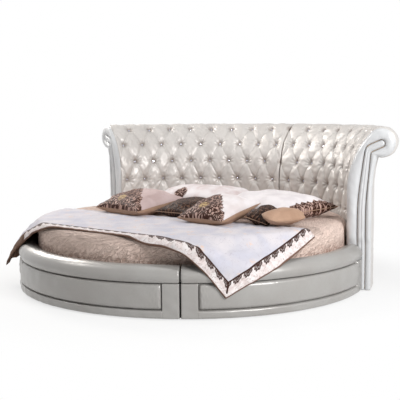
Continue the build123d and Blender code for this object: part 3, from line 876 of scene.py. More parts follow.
class LaceArea(Enum):
    """Where a pillow carries its lace."""

    NONE = "none"
    SIDE = "side"
    BORDER = "border"
    SPOT = "spot"


@dataclass(frozen=True)
class PillowCloth:
    """Satin pillow cloth with an area of dark lace and a gold flower."""

    name: str
    field_colour: Paint
    second: Paint
    lace: Paint = paint(56, 29, 19)
    ground: Paint = paint(178, 144, 130)
    area: LaceArea = LaceArea.NONE
    edge: float = 0.0
    turn: float = 0.0
    flower: Pair | None = None
    flower_radius: float = 0.05
    petal_light: Paint = paint(190, 166, 118)
    petal_dark: Paint = paint(116, 84, 58)

    def lace_mask(self, graph: Graph, spot: Signal) -> Signal:
        """Where the lace lies.

        Args:
            graph: The material's graph.
            spot: Cloth coordinates.

        Returns:
            A mask.
        """
        across, along, _ = graph.split(graph.moved(spot, turn=self.turn))
        wobble = (graph.noise(spot, 30.0, 1.0) - 0.5) * 0.05
        if self.area is LaceArea.SPOT:
            reach = graph.vector("DISTANCE", {0: spot, 1: (*self.flower, 0.0)}, "Value")
            return graph.rise(reach + wobble, self.edge, self.edge - 0.012)
        if self.area is LaceArea.BORDER:
            scallop = abs(graph.math("SINE", along * 48.0)) * 0.016
            return graph.rise(across - scallop, self.edge, self.edge + 0.004)
        return graph.rise(across + wobble, self.edge, self.edge - 0.01)

    def material(self, effects: Effects) -> Material:
        """Builds the finish.

        Args:
            effects: The shared effects.

        Returns:
            The material.
        """
        material, graph, shader = new_material(self.name)
        spot = graph.spot("UV")
        colours = {"Colour": self.field_colour, "Second": self.second}
        drift = graph.group(effects.drift, Vector=spot, **colours, Scale=9.0, Amount=0.7)
        weave = graph.group(effects.weave, Vector=spot, Threads=520.0, Slub=0.5)
        colour, height = drift["Colour"], weave["Height"]
        if self.area is not LaceArea.NONE:
            scrolls = graph.group(effects.lace, Vector=spot, Scale=26.0, Density=1.0)
            area = self.lace_mask(graph, spot)
            mask = scrolls["Mask"] * area
            colour = graph.mix(mask, graph.mix(area * 0.9, colour, self.ground), self.lace)
            height = height + mask * 2.0
        if self.flower is not None:
            reach = graph.vector("DISTANCE", {0: spot, 1: (*self.flower, 0.0)}, "Value")
            petals = (graph.noise(spot, 60.0, 1.0) - 0.5) * 0.03
            bloom = graph.rise(reach + petals, self.flower_radius, self.flower_radius * 0.6)
            gold = graph.mix(graph.rise(graph.noise(spot, 70.0), 0.42, 0.58), self.petal_light, self.petal_dark)
            colour = graph.mix(bloom, colour, gold)
        feeds = {
            "Base Color": colour,
            "Roughness": graph.rise(weave["Mask"], 0.0, 1.0, 0.5, 0.6),
            "Specular IOR Level": CLOTH_GLOSS,
            "Normal": graph.bump(height, 0.6, THREAD_HEIGHT),
        }
        graph.dress(shader, feeds)
        return material


@dataclass(frozen=True)
class ThrowCloth:
    """Pale floral quilt with a lace line, a flower band and a brown bound edge."""

    name: str = "throw_quilt"
    half_width: float = 1.06
    band: float = 0.075
    bound: float = 0.008
    pitch: float = 0.068
    pale: Paint = paint(212, 207, 210)
    blue: Paint = paint(189, 189, 201)
    petal: Paint = paint(219, 194, 178)
    line: Paint = paint(176, 168, 178)
    band_pale: Paint = paint(230, 225, 224)
    band_pink: Paint = paint(206, 190, 187)
    outline: Paint = paint(136, 112, 106)
    lace: Paint = paint(58, 36, 30)
    edge: Paint = paint(112, 86, 74)

    def field(self, graph: Graph, effects: Effects, spot: Signal) -> Signal:
        """The middle of the throw: pale and blue clouds, petals and fine lines.

        Args:
            graph: The material's graph.
            effects: The shared effects.
            spot: Cloth coordinates.

        Returns:
            Its colour.
        """
        blue = graph.group(effects.drift, Vector=spot, Colour=self.pale, Second=self.blue, Scale=6.0, Amount=0.9)
        flowers = graph.rise(graph.cells(graph.moved(spot, shift=(0.3, 0.1, 0.0)), 11.0), 0.34, 0.20)
        petals = graph.rise(graph.noise(spot, 55.0), 0.45, 0.6)
        colour = graph.mix(flowers * petals * 0.9, blue["Colour"], self.petal)
        lines = graph.rise(abs(graph.noise(spot, 26.0, 2.0, 0.8) - 0.5), 0.012, 0.004)
        return graph.mix(lines * 0.5, colour, self.line)

    def clusters(self, graph: Graph, run: Signal, hem: Signal, in_band: Signal) -> Signal:
        """Rows of lace fans that hang from the band's line.

        Args:
            graph: The material's graph.
            run: Distance along the hem.
            hem: Distance in from the hem.
            in_band: Where the band is.

        Returns:
            A mask.
        """
        beat = (graph.math("FRACT", run / self.pitch) - 0.5) * self.pitch
        fall = self.band - hem
        reach = graph.math("SQRT", beat * beat + fall * fall)
        lobes = graph.math("COSINE", graph.math("ARCTAN2", beat, fall) * 9.0) * 0.0024
        reach = reach + lobes
        fans = graph.rise(reach, 0.031, 0.029) * in_band
        veins = graph.rise(abs(reach - 0.019), 0.0008, 0.0026)
        return fans * (0.55 + veins * 0.45)

    def material(self, effects: Effects) -> Material:
        """Builds the finish.

        Args:
            effects: The shared effects.

        Returns:
            The material.
        """
        material, graph, shader = new_material(self.name)
        spot = graph.spot("UV")
        across, along, _ = graph.split(spot)
        side = self.half_width - abs(across)
        hem = graph.math("MINIMUM", side, along)
        in_band = graph.rise(hem, self.band, self.band - 0.002)
        colours = {"Colour": self.band_pale, "Second": self.band_pink}
        pink = graph.group(effects.drift, Vector=spot, **colours, Scale=30.0, Amount=0.8)
        outlines = graph.rise(abs(graph.noise(spot, 42.0, 1.0, 0.6) - 0.5), 0.030, 0.012)
        banded = graph.mix(outlines * 0.45, pink["Colour"], self.outline)
        colour = graph.mix(in_band, self.field(graph, effects, spot), banded)
        scrolls = graph.group(effects.lace, Vector=spot, Scale=90.0, Density=1.0)
        lace = self.clusters(graph, across + along, hem, in_band) * (0.8 + scrolls["Mask"] * 0.2)
        line = graph.rise(hem, self.band - 0.006, self.band - 0.004)
        line = line * graph.rise(hem, self.band + 0.005, self.band + 0.003)
        mitre = graph.rise(abs(side - along), 0.008, 0.005) * in_band * graph.rise(hem, 0.022, 0.026)
        lace = graph.math("MAXIMUM", lace, mitre)
        colour = graph.mix(graph.math("MAXIMUM", lace, line), colour, self.lace)
        colour = graph.mix(graph.rise(hem, self.bound + 0.001, self.bound), colour, self.edge)
        weave = graph.group(effects.weave, Vector=spot, Threads=480.0, Slub=0.4)
        feeds = {
            "Base Color": colour,
            "Roughness": graph.rise(weave["Mask"], 0.0, 1.0, 0.62, 0.72),
            "Specular IOR Level": CLOTH_GLOSS,
            "Normal": graph.bump(weave["Height"] + lace * 1.5, 0.6, THREAD_HEIGHT),
        }
        graph.dress(shader, feeds)
        return material


@dataclass(frozen=True)
class Wood:
    """Sawn timber or board."""

    name: str
    colour: Paint
    dark: Paint
    scale: float = 22.0
    roughness: float = 0.62

    def material(self, effects: Effects) -> Material:
        """Builds the finish.

        Args:
            effects: The shared effects.

        Returns:
            The material.
        """
        material, graph, shader = new_material(self.name)
        grain = graph.group(effects.boards, Vector=graph.spot("Object"), Scale=self.scale)
        feeds = {
            "Base Color": graph.mix(grain["Mask"], self.colour, self.dark),
            "Roughness": graph.rise(grain["Mask"], 0.0, 1.0, self.roughness, self.roughness + 0.12),
            "Normal": graph.bump(grain["Height"], 0.4, 0.0006),
        }
        graph.dress(shader, feeds)
        return material


@dataclass(frozen=True)
class Hard:
    """Metal, glass-like stone or moulded plastic."""

    name: str
    colour: Paint
    second: Paint
    metallic: float
    roughness: float
    scale: float = 180.0
    height: float = 0.0002
    coat: float = 0.0

    def material(self, effects: Effects) -> Material:
        """Builds the finish.

        Args:
            effects: The shared effects.

        Returns:
            The material.
        """
        material, graph, shader = new_material(self.name)
        spot = graph.spot("Object")
        colours = {"Colour": self.colour, "Second": self.second}
        drift = graph.group(effects.drift, Vector=spot, **colours, Scale=self.scale, Amount=0.6)
        speck = graph.noise(spot, self.scale, 3.0)
        feeds = {
            "Base Color": drift["Colour"],
            "Metallic": self.metallic,
            "Roughness": graph.rise(speck, 0.3, 0.7, self.roughness * 0.8, self.roughness * 1.2),
            "Coat Weight": self.coat,
            "Normal": graph.bump(speck, 0.3, self.height),
        }
        graph.dress(shader, feeds)
        return material


# Base

@dataclass
class BaseSegment:
    """One padded segment of the base, between two angles."""

    finish: Material
    name: str
    start: float
    end: float
    end_gap: float
    seed: int
    mirror: bool = False
    surround_radius: float = 1.116
    bumper_bottom: float = 0.198
    panel_low: float = 0.054
    panel_high: float = 0.195
    window_low: float = 0.051
    stile: float = 0.096
    floor_gap: float = 0.006
    low: float = field(init=False)
    high: float = field(init=False)
    window: Pair = field(init=False)

    def __post_init__(self) -> None:
        """Works out the angles of its covers and of its stiles' inner edges."""
        self.low = self.start + degrees(RINGS.half_seam / RINGS.panel)
        self.high = self.end - degrees(self.end_gap / RINGS.panel)
        stile = degrees((RINGS.half_seam + self.stile) / RINGS.panel)
        self.window = (self.start + stile, self.end - stile)

    def build(self) -> None:
        """Builds and dresses its covers."""
        parts = {"bumper": self.bumper(), "surround": self.surround(), "panel": self.panel()}
        for part, (kind, arrays) in parts.items():
            if self.mirror:
                arrays = [flipped(each) if each.shape[-1] == 3 else each for each in arrays]
            node = f"base_{self.name}_{part}"
            mesh = kind(node + "_cover", *arrays)
            piece = place(node + "_cover", mesh, self.finish, [node])

    def bumper(self) -> tuple[Callable, list[Array]]:
        """The padded roll along the top.

        Returns:
            The mesh builder and its arrays.
        """
        low, high, seed = self.low, self.high, self.seed
        rim, out, crest = RINGS.rim, RINGS.panel, RINGS.crest
        near, far, low_edge = rim + 0.0005, RINGS.rail_outer + 0.0005, self.bumper_bottom + 0.0005
        corners = [(near, 0.2625), (near, 0.275), (rim + 0.045, crest + 0.001), (out - 0.020, crest)]
        corners += [(out + 0.004, 0.232), (out - 0.010, low_edge), (far, low_edge), (far, 0.2625)]
        loop = resample(rounded(corners, [0, 0.006, 0.05, 0.070, 0.034, 0.012, 0, 0], True, 0.003), 96, True)
        theta = dense_edges(low, high, 1.0, 7, 210)
        ends = from_ends(theta, low, high, out)
        fall = edge_fall(ends, 0.011)[:, None]
        way = unit(loop - np.array([1.09, 0.245]))
        free = ease(loop[:, 0], rim + 0.02, rim + 0.05)[None] * ease(loop[:, 1], 0.199, 0.206)[None]
        flat = pairs(arc(theta[:, None], out), loop[None, :, 1])
        waves = 0.0012 * ripples(flat * np.array([1.0, 0.6]), 0.16, seed)
        low_wrinkle = bell(loop[None, :, 1] - 0.204, 0.012) * (loop[None, :, 0] > 1.1)
        waves = waves - 0.0016 * low_wrinkle * np.maximum(ripples(flat * np.array([1.0, 0.05]), 0.012, seed + 1), 0)
        seam = bell(ends - 0.012, 0.02)[:, None]
        waves = waves + 0.001 * seam * ripples(flat * np.array([0.4, 1.0]), 0.02, seed + 2)
        move = waves * free - fall
        radius = loop[None, :, 0] + way[None, :, 0] * move
        height = loop[None, :, 1] + way[None, :, 1] * move
        rows = polar(theta[:, None], radius, height)
        uv = pairs(arc(theta[:, None], out), lengths(np.vstack([loop, loop[:1]]))[None])
        return spun, [rows, rows[0].mean(axis=0), rows[-1].mean(axis=0), uv]

    def surround(self) -> tuple[Callable, list[Array]]:
        """The lower strip and the stiles, recessed behind the raised panel.

        Returns:
            The mesh builder and its arrays.
        """
        low, high, window, face = self.low, self.high, self.window, self.surround_radius
        step = degrees(0.003 / RINGS.panel)
        stiles = [dense_edges(*ends, 0.6, 6, 14) for ends in ((low, window[0] - step), (window[1] + step, high))]
        theta = np.concatenate([stiles[0], dense_edges(*window, 0.5, 3, 150), stiles[1]])
        strip = dense_edges(self.floor_gap, self.window_low - 0.002, 0.010, 6, 6)
        above = dense_edges(self.window_low + 0.002, self.bumper_bottom - 0.0005, 0.008, 5, 26)
        across, up = np.meshgrid(theta, np.concatenate([strip, above]))
        ends = from_ends(across, low, high, face)
        ups = np.minimum(up - self.floor_gap, self.bumper_bottom - up)
        radius = face - edge_fall(np.minimum(ends, ups), 0.009)
        in_window = (across >= window[0]) & (across <= window[1])
        swell = edge_fall(np.minimum(np.abs(up - self.floor_gap), np.abs(self.window_low - up)), 0.013)
        radius = np.where((up < self.window_low) & in_window, face + 0.003 - swell, radius)
        side = arc(np.minimum(np.abs(across - window[0]), np.abs(across - window[1])), face)
        radius = np.where(~in_window, radius - edge_fall(side, 0.006), radius)
        behind = in_window & (up > self.window_low)
        flat = pairs(arc(across, face), up)
        waves = np.where(behind, 0.0, 0.0008 * ripples(flat, 0.07, self.seed + 3))
        radius = np.where(behind, RINGS.rail_outer + 0.003, radius) + waves
        return shell, [polar(across, radius, up), polar(across, RINGS.rail_outer + 0.0005, up), flat]

    def panel(self) -> tuple[Callable, list[Array]]:
        """The raised panel with its rounded border.

        Returns:
            The mesh builder and its arrays.
        """
        face, seed = RINGS.panel, self.seed
        groove = degrees(0.003 / face)
        low, high = self.window[0] + groove, self.window[1] - groove
        theta = dense_edges(low, high, 0.9, 8, 190)
        height = dense_edges(self.panel_low, self.panel_high, 0.016, 8, 22)
        across, up = np.meshgrid(theta, height)
        ends = from_ends(across, low, high, face)
        ups = np.minimum(up - self.panel_low, self.panel_high - up)
        corner = 0.014
        near = np.hypot(np.maximum(corner - ends, 0), np.maximum(corner - ups, 0))
        inside = np.where((ends < corner) & (ups < corner), np.maximum(corner - near, 0), np.minimum(ends, ups))
        flat = pairs(arc(across, face), up)
        crown = 0.007 * (1 - ((up - 0.1245) / 0.0705) ** 2)
        puckers = np.exp(-ends / 0.035) * ripples(flat * np.array([1.0, 0.25]), 0.012, seed + 4)
        creases = np.exp(-ups / 0.02) * ripples(flat * np.array([1.0, 0.3]), 0.016, seed + 5)
        radius = face - 0.005 + crown - edge_fall(inside, 0.018) + 0.0009 * ripples(flat, 0.11, seed + 6)
        radius = radius + (0.0022 * puckers + 0.0009 * creases) * ease(inside, 0.0, 0.006)
        front = polar(across, np.maximum(radius, RINGS.rail_outer + 0.012), up)
        return shell, [front, polar(across, RINGS.rail_outer + 0.004, up), flat]


@dataclass
class SeamShadowStrip:
    """A black strip deep in a seam between two segments, put there as painted shadow for the seam."""

    finish: Material
    side: str

    def build(self) -> None:
        """Builds and dresses the strip."""
        half = degrees((RINGS.half_seam - 0.0006) / RINGS.rail_outer)
        low, high = RINGS.front_seam - half, RINGS.front_seam + half
        theta, up = np.meshgrid(np.linspace(low, high, 9), np.linspace(0.010, 0.262, 60))
        flat = pairs(arc(theta), up)
        fall = edge_fall(from_ends(theta, low, high, RINGS.rail_outer), 0.003)
        front = polar(theta, RINGS.rail_outer + 0.014 - fall + 0.0004 * ripples(flat, 0.03, 91), up)
        back = polar(theta, RINGS.rail_outer + 0.0006, up)
        if self.side == "left":
            front, back = flipped(front), flipped(back)
        name = f"base_{self.side}_seam_felt"
        place(name, shell(name, front, back, flat), self.finish)


# Headboard

@dataclass
class HeadProfile:
    """The upright outline that the headboard's face follows, from its foot to the scroll's end."""

    face: float = RINGS.head
    foot: float = 0.190
    roll_start: float = 0.620
    reach: float = 0.200
    scroll_height: float = 0.912
    scroll_radius: float = 0.082
    scroll_end: float = -105.0
    low_row: float = 0.168
    rise: float = field(init=False)
    roll_radius: float = field(init=False)
    roll_end: float = field(init=False)

    def __post_init__(self) -> None:
        """Works out the arc that runs into the scroll."""
        self.rise = self.scroll_height - self.roll_start
        square = self.reach**2 + self.rise**2 - self.scroll_radius**2
        self.roll_radius = square / (2 * (self.reach - self.scroll_radius))
        self.roll_end = degrees(atan2(self.rise, self.reach - self.roll_radius))

    @property
    def roll_length(self) -> float:
        """Length of the rolling part."""
        return self.roll_radius * radians(180 - self.roll_end)

    @property
    def scroll_length(self) -> float:
        """Length round the scroll."""
        return self.scroll_radius * radians(self.roll_end - self.scroll_end)

    @property
    def length(self) -> float:
        """The whole length."""
        return self.roll_start - self.foot + self.roll_length + self.scroll_length

    @property
    def row_pitch(self) -> float:
        """Spacing of the button rows along the face."""
        return (self.low_row + self.roll_length - 0.0024) / 4

    @property
    def first_row(self) -> float:
        """Where the lowest buttons are."""
        return self.roll_start - self.low_row - self.foot

    def trace(self, run: Array) -> tuple[Array, Array, Array, Array]:
        """Points and outward directions along the outline.

        Args:
            run: Distances from the foot.

        Returns:
            Radius, height, and the direction's two parts.
        """
        straight = self.roll_start - self.foot
        past = np.clip(run - straight, 0, self.roll_length)
        over = np.clip(run - straight - self.roll_length, 0, self.scroll_length)
        roll_angle = np.radians(180) - past / self.roll_radius
        scroll_angle = radians(self.roll_end) - over / self.scroll_radius
        on_roll, on_scroll = run > straight, run > straight + self.roll_length
        radius = np.where(on_roll, self.face + self.roll_radius * (1 + np.cos(roll_angle)), self.face)
        height = np.where(on_roll, self.roll_start + self.roll_radius * np.sin(roll_angle), self.foot + run)
        radius = np.where(on_scroll, self.face + self.reach + self.scroll_radius * np.cos(scroll_angle), radius)
        height = np.where(on_scroll, self.scroll_height + self.scroll_radius * np.sin(scroll_angle), height)
        angle = np.where(on_scroll, scroll_angle, np.where(on_roll, roll_angle, pi))
        return radius, height, np.cos(angle), np.sin(angle)


@dataclass
class Headboard:
    """One half of the buttoned headboard, with its fluted end and plain back."""

    side: str
    padding: Material
    facing: Material
    back_leather: Material
    crystal: Material
    profile: HeadProfile = field(default_factory=HeadProfile)
    rows: int = 236
    columns: int = 290
    puff: float = 0.012
    crease: float = 0.0030
    dimple: float = 0.024
    pad_thickness: float = 0.028
    facing_depth: float = 0.014
    facing_proud: float = 0.009
    column_pitch: float = 8.0
    end_gap: float = 0.0145
    floor_gap: float = 0.006
    eye: Pair = (1.222, 0.906)
    eye_tilt: float = 24.0
    tongue: float = 0.0215

    def build(self) -> None:
        """Builds and dresses the half."""
        self.pad()
        self.buttons()
        self.back_cover()
        self.end()

    def hand(self, points: Array) -> Array:
        """Points of the right half moved to this half."""
        return points if self.side == "right" else flipped(points)

    def button_distance(self, turns: Array, rows: Array, radius: Array) -> tuple[Array, Array]:
        """Distance and direction to the nearest button.

        Args:
            turns: Button spacings from the middle seam.
            rows: Row spacings above the lowest row.
            radius: Distance from the bed's axis.

        Returns:
            The distance and the angle round the button.
        """
        best = np.full(np.broadcast(turns, rows).shape, 9.0)
        angle = np.zeros_like(best)
        for row in range(5):
            shift = 0.0 if row % 2 == 0 else 0.5
            nearest = np.clip(np.round(turns - shift), 1 - 2 * shift, 8) + shift
            across = (turns - nearest) * radians(self.column_pitch) * radius
            up = (rows - row) * self.profile.row_pitch
            reach = np.hypot(across, up)
            angle = np.where(reach < best, np.arctan2(up, across), angle)
            best = np.minimum(best, reach)
        return best, angle

    def relief(self, theta: Array, run: Array, radius: Array, seed: int) -> Array:
        """How far the padding stands out, with puffs, creases and dimples.

        Args:
            theta: Angles.
            run: Distances along the profile.
            radius: Distances from the axis.
            seed: Which pattern of wrinkles.

        Returns:
            The height above the plain outline.
        """
        turns = (90 - theta) / self.column_pitch
        rows = (run - self.profile.first_row) / self.profile.row_pitch
        level = np.clip(rows, 0, 4)
        first = np.abs(np.sin(pi * (turns + level / 2)))
        second = np.abs(np.sin(pi * (turns - level / 2)))
        full = np.sqrt(first * second)
        calm = 1 - 0.92 * ease(rows, 3.95, 4.5)
        height = self.puff * full**0.8 * calm + self.puff * (1 - calm) * 0.75
        near = np.minimum(first, second)
        height = height - self.crease * calm * bell(near, 0.035) * (0.5 + 0.5 * ease(full, 0.0, 0.15))
        reach, angle = self.button_distance(turns, rows, radius)
        height = height - self.dimple * np.clip(1 - reach / 0.056, 0, 1) ** 2.0
        fold = np.cos(9 * angle + 2.5 * np.sin(turns * 5.3 + rows * 3.1)) * bell(reach - 0.030, 0.015)
        height = height + 0.0026 * fold
        flat = pairs(arc(theta, radius), run)
        return height + 0.0012 * ripples(flat, 0.045, seed) * full + 0.0016 * ripples(flat, 0.13, seed + 1)

    def pad(self) -> None:
        """The buttoned padding."""
        profile = self.profile
        run = np.linspace(0, profile.length, self.rows)[:, None]
        radius, height, out_r, out_z = profile.trace(run)
        start = RINGS.head_end + np.degrees(np.arcsin(self.end_gap / radius))
        end = 90 - degrees(0.004 / RINGS.head)
        theta = start + (end - start) * dense_edges(0.0, 1.0, 0.02, 7, self.columns - 14)[None, :]
        ends = from_ends(theta, start, end, radius)
        lift = self.relief(theta, run, radius, 21 if self.side == "right" else 31)
        lift = lift - edge_fall(np.minimum(ends, np.minimum(run, profile.length - run)), 0.014)
        front = polar(theta, radius + out_r * lift, height + out_z * lift)
        back = polar(theta, radius - out_r * self.pad_thickness, height - out_z * self.pad_thickness)
        uv = pairs((90 - theta) / self.column_pitch, (run - profile.first_row) / profile.row_pitch)
        name = f"head_{self.side}_padding"
        mesh = shell(name, self.hand(front), self.hand(back), uv)
        piece = place(name, mesh, self.padding, [f"head_{self.side}_tufted_pad"])

    def buttons(self) -> None:
        """The faceted crystal buttons."""
        rings = ((0.0070, 0.0, 0.0), (0.0090, 0.0022, 0.5), (0.0072, 0.0046, 0.0), (0.0042, 0.0062, 0.5))
        shape, faces = [], []
        for ring, (radius, height, shift) in enumerate(rings):
            for corner in range(8):
                turn = (corner + shift) * pi / 4
                shape.append((radius * cos(turn), radius * sin(turn), height))
                low, after = ring * 8 + corner, ring * 8 + (corner + 1) % 8
                if ring in (0, 2):
                    faces += [(low, after, low + 8), (after, after + 8, low + 8)]
                elif ring == 1:
                    faces += [(low, after + 8, low + 8), (low, after, after + 8)]
        shape = np.array([*shape, (0, 0, 0), (0, 0, 0.0062)])
        for first, pole in ((0, 32), (24, 33)):
            faces += [(first + corner, first + (corner + 1) % 8, pole) for corner in range(8)]
        points = []
        for row in range(5):
            shift = (row + 1) % 2
            run = np.array(self.profile.first_row + row * self.profile.row_pitch)
            radius, height, out_r, out_z = (float(part) for part in self.profile.trace(run))
            for column in range(9 - shift):
                theta = 90 - (column + (1 + shift) / 2) * self.column_pitch
                outward = polar(theta, out_r, out_z)
                sideways = polar(theta + 90, 1.0, 0.0)
                middle = polar(theta, radius, height) - outward * (self.dimple - 0.0045)
                points.append(middle + shape @ np.stack([sideways, np.cross(outward, sideways), outward]))
        every = np.concatenate([np.array(faces) + len(shape) * index for index in range(len(points))])
        name = f"head_{self.side}_crystals"
        points = self.hand(np.concatenate(points))
        mesh = build_mesh(name, points, [every], [np.zeros((*every.shape, 2))], smooth=False)
        place(name, mesh, self.crystal, [f"head_{self.side}_buttons"])

    def back_line(self) -> Array:
        """The back's outline from the floor to the notch under the scroll.

        Returns:
            Radius and height of its points.
        """
        centre, bend = (1.798, 0.640), 0.630
        turns = np.radians(np.linspace(180, 180 - degrees(asin(0.186 / bend)), 24))
        flare = np.stack([centre[0] + bend * np.cos(turns), centre[1] + bend * np.sin(turns)], axis=1)
        return np.vstack([[RINGS.back, self.floor_gap], [RINGS.back, 0.30], flare])

    def back_cover(self) -> None:
        """The plain cover of the back, with two sewn seams."""
        line = resample(self.back_line(), 110)
        out = -left_of(line)
        start = RINGS.head_end + degrees(asin(self.end_gap / RINGS.back))
        end = 90 - degrees(0.0015 / RINGS.back)
        theta = dense_edges(start, end, 0.8, 6, 220)[None, :]
        run = np.linspace(0, lengths(line)[-1], len(line))[:, None]
        flat = pairs(arc(theta, RINGS.back), run)
        lift = 0.0016 * ripples(flat, 0.30, 41 if self.side == "right" else 43) + 0.0007 * ripples(flat, 0.08, 44)
        for seam in (start + (end - start) / 3, start + 2 * (end - start) / 3):
            reach = arc(theta - seam, RINGS.back)
            lift = lift - 0.003 * bell(reach, 0.0045) + 0.0015 * bell(np.abs(reach) - 0.012, 0.007)
            lift = lift + 0.0006 * np.exp(-np.abs(reach) / 0.02) * ripples(flat * np.array([0.2, 1.0]), 0.018, 45)
        ends = from_ends(theta, start, end, RINGS.back)
        lift = lift - edge_fall(np.minimum(ends, np.minimum(run, run[-1] - run)), 0.005)
        front = polar(theta, line[:, :1] + out[:, :1] * lift, line[:, 1:] + out[:, 1:] * lift)
        inside = line - out * 0.0055
        back = polar(theta, inside[:, :1], inside[:, 1:])
        mesh = shell(f"head_{self.side}_back", self.hand(front), self.hand(back), flat)
        name = f"head_{self.side}_back_panel"
        piece = place(name, mesh, self.back_leather, [f"head_{self.side}_back_cover"])

    def outer_line(self) -> Array:
        """The facing's outer edge, from the floor at the front to the floor at the back."""
        face = np.stack(self.profile.trace(np.linspace(0, self.profile.length, 320))[:2], axis=1)
        return np.vstack([[RINGS.head, self.floor_gap], face, self.back_line()[::-1]])

    def by_eye(self, along: float, up: float) -> Pair:
        """A point by the scroll's eye, along its tilt and square to it."""
        way = cos(radians(self.eye_tilt)), sin(radians(self.eye_tilt))
        return self.eye[0] + along * way[0] - up * way[1], self.eye[1] + along * way[1] + up * way[0]

    def tongue_line(self) -> Array:
        """The middle flute's edge, from the floor at the front to the floor at the back.

        Returns:
            Radius and height of its points.
        """
        half, low = self.tongue, self.floor_gap
        corners = [(1.084, low), (1.084, 0.560), self.by_eye(half - 0.114, half), self.by_eye(half, half)]
        corners += [self.by_eye(half, -half), self.by_eye(half - 0.100, -half), (1.131, 0.520), (1.131, low)]
        return rounded(corners, [0, 1.5, 0.055, 0.021, 0.021, 0.022, 1.5, 0], step=0.003)

    def on_end(self, line: Array, depth: Array | float) -> Array:
        """Points of the headboard's end plane.

        Args:
            line: Radius and height, last.
            depth: How far behind the plane.

        Returns:
            Points in space.
        """
        turn = radians(RINGS.head_end)
        across = np.array([cos(turn), sin(turn), 0.0])
        outward = np.array([sin(turn), -cos(turn), 0.0])
        depth = np.asarray(depth, float)[..., None]
        return line[..., :1] * across + line[..., 1:] * np.array([0, 0, 1.0]) - depth * outward

    def crowned(
        self, first: Array, second: Array, count: int, proud: float, ridge: float = 0.0
    ) -> tuple[Array, Array, Array]:
        """A flute between two edges, full across its middle.

        Args:
            first: One edge.
            second: The other edge, point for point.
            count: Points across.
            proud: How far it stands out of the end plane above the base.
            ridge: Depth of a sewn line along its middle.

        Returns:
            Front points, back points and cloth coordinates.
        """
        share = (1 - np.cos(np.linspace(0, pi, count))) / 2
        line = first[:, None] * (1 - share[None, :, None]) + second[:, None] * share[None, :, None]
        crown = (1 - np.abs(2 * share - 1) ** 2.0) ** 0.5
        width = np.linalg.norm(second - first, axis=1)
        wide = np.clip(width / 0.034, 0.05, 1) ** 0.6
        above = ease(line[..., 1], 0.29, 0.33)
        top = 0.0006 * (1 - above) - proud * above
        low = self.facing_depth - 0.003
        depth = low - (low - top) * crown[None] * wide[:, None]
        flat = pairs(lengths(first)[:, None], share[None] * width[:, None])
        if ridge:
            depth = depth + ridge * bell((share[None] - 0.5) * width[:, None], 0.0045) * wide[:, None]
        depth = depth - 0.0006 * ripples(flat, 0.05, 51) * above
        return self.on_end(line, depth), self.on_end(line, np.full(depth.shape, self.facing_depth)), flat

    def matched(self, line: Array, knots: Sequence[float], counts: Sequence[int]) -> Array:
        """Points along a line, with a set count of steps between each two knots."""
        wanted = [np.linspace(*ends, count, endpoint=False) for *ends, count in zip(knots, knots[1:], counts)]
        return read_line(line, np.concatenate([*wanted, [knots[-1]]]))

    def nearest_run(self, line: Array, point: Pair) -> float:
        """Length along a line to its point nearest a given one."""
        near = np.argmin(np.linalg.norm(resample(line, 3000) - np.array(point), axis=1))
        return float(near) / 2999 * lengths(line)[-1]

    def end(self) -> None:
        """The fluted facing of the end, with piping round it."""
        outer, tongue = self.outer_line(), self.tongue_line()
        fine = resample(tongue, 700)
        grown = fine + left_of(fine) * 0.003
        outer_marks = [
            (RINGS.head, self.floor_gap),
            (RINGS.head, self.profile.roll_start),
            *(self.scroll_point(angle) for angle in (136, 95, 40, -25, -80)),
            (1.1961, 0.826),
            (RINGS.back, 0.64),
            (RINGS.back, self.floor_gap),
        ]
        inner_marks = [(1.081, self.floor_gap), (1.083, 0.60), (1.128, 0.86), (1.15, 0.90), (1.225, 0.936)]
        inner_marks += [(1.25, 0.90), (1.205, 0.868), (1.158, 0.835), (1.134, 0.60), (1.134, self.floor_gap)]
        counts = [60, 34, 16, 22, 22, 20, 22, 26, 60]
        edges = [
            self.matched(line, [self.nearest_run(line, mark) for mark in marks], counts)
            for line, marks in ((outer, outer_marks), (grown, inner_marks))
        ]
        self.flute("outer_flute", "end_band", self.crowned(*edges, 30, self.facing_proud))
        tip = self.nearest_run(tongue, self.by_eye(self.tongue, 0.0))
        marks = [0, self.nearest_run(tongue, (1.084, 0.58)), tip - 0.04, tip]
        first = self.matched(tongue, marks, [60, 40, 18])
        marks = [lengths(tongue)[-1], self.nearest_run(tongue, (1.131, 0.56)), tip + 0.04, tip]
        second = self.matched(tongue, marks, [60, 40, 18])
        second[-1] += (second[-2] - second[-1]) * 0.02
        middle = self.crowned(first, second, 24, self.facing_proud + 0.002, 0.005)
        self.flute("middle_flute", "end_tongue", middle)
        cord = resample(outer[outer[:, 1] > 0.30], 260)
        path = self.on_end(cord, np.full(len(cord), 0.011))
        name = f"head_{self.side}_piping"
        piece = place(name, tube(name, self.hand(path), 0.0042), self.facing)

    def flute(self, name: str, node: str, arrays: Sequence[Array]) -> None:
        """Puts one flute of the facing in place.

        Args:
            name: Which flute.
            node: The frame node that it stands for.
            arrays: Its front, its back and its cloth coordinates.
        """
        name = f"head_{self.side}_{name}"
        mesh = shell(name, self.hand(arrays[0]), self.hand(arrays[1]), arrays[2])
        piece = place(name, mesh, self.facing, [f"head_{self.side}_{node}"])

    def scroll_point(self, angle: float) -> Pair:
        """A point on the scroll.

        Args:
            angle: Its direction from the scroll's middle, in degrees.

        Returns:
            Its radius and height.
        """
        profile, turn = self.profile, radians(angle)
        radius = profile.face + profile.reach + profile.scroll_radius * cos(turn)
        return radius, profile.scroll_height + profile.scroll_radius * sin(turn)


# Bedding

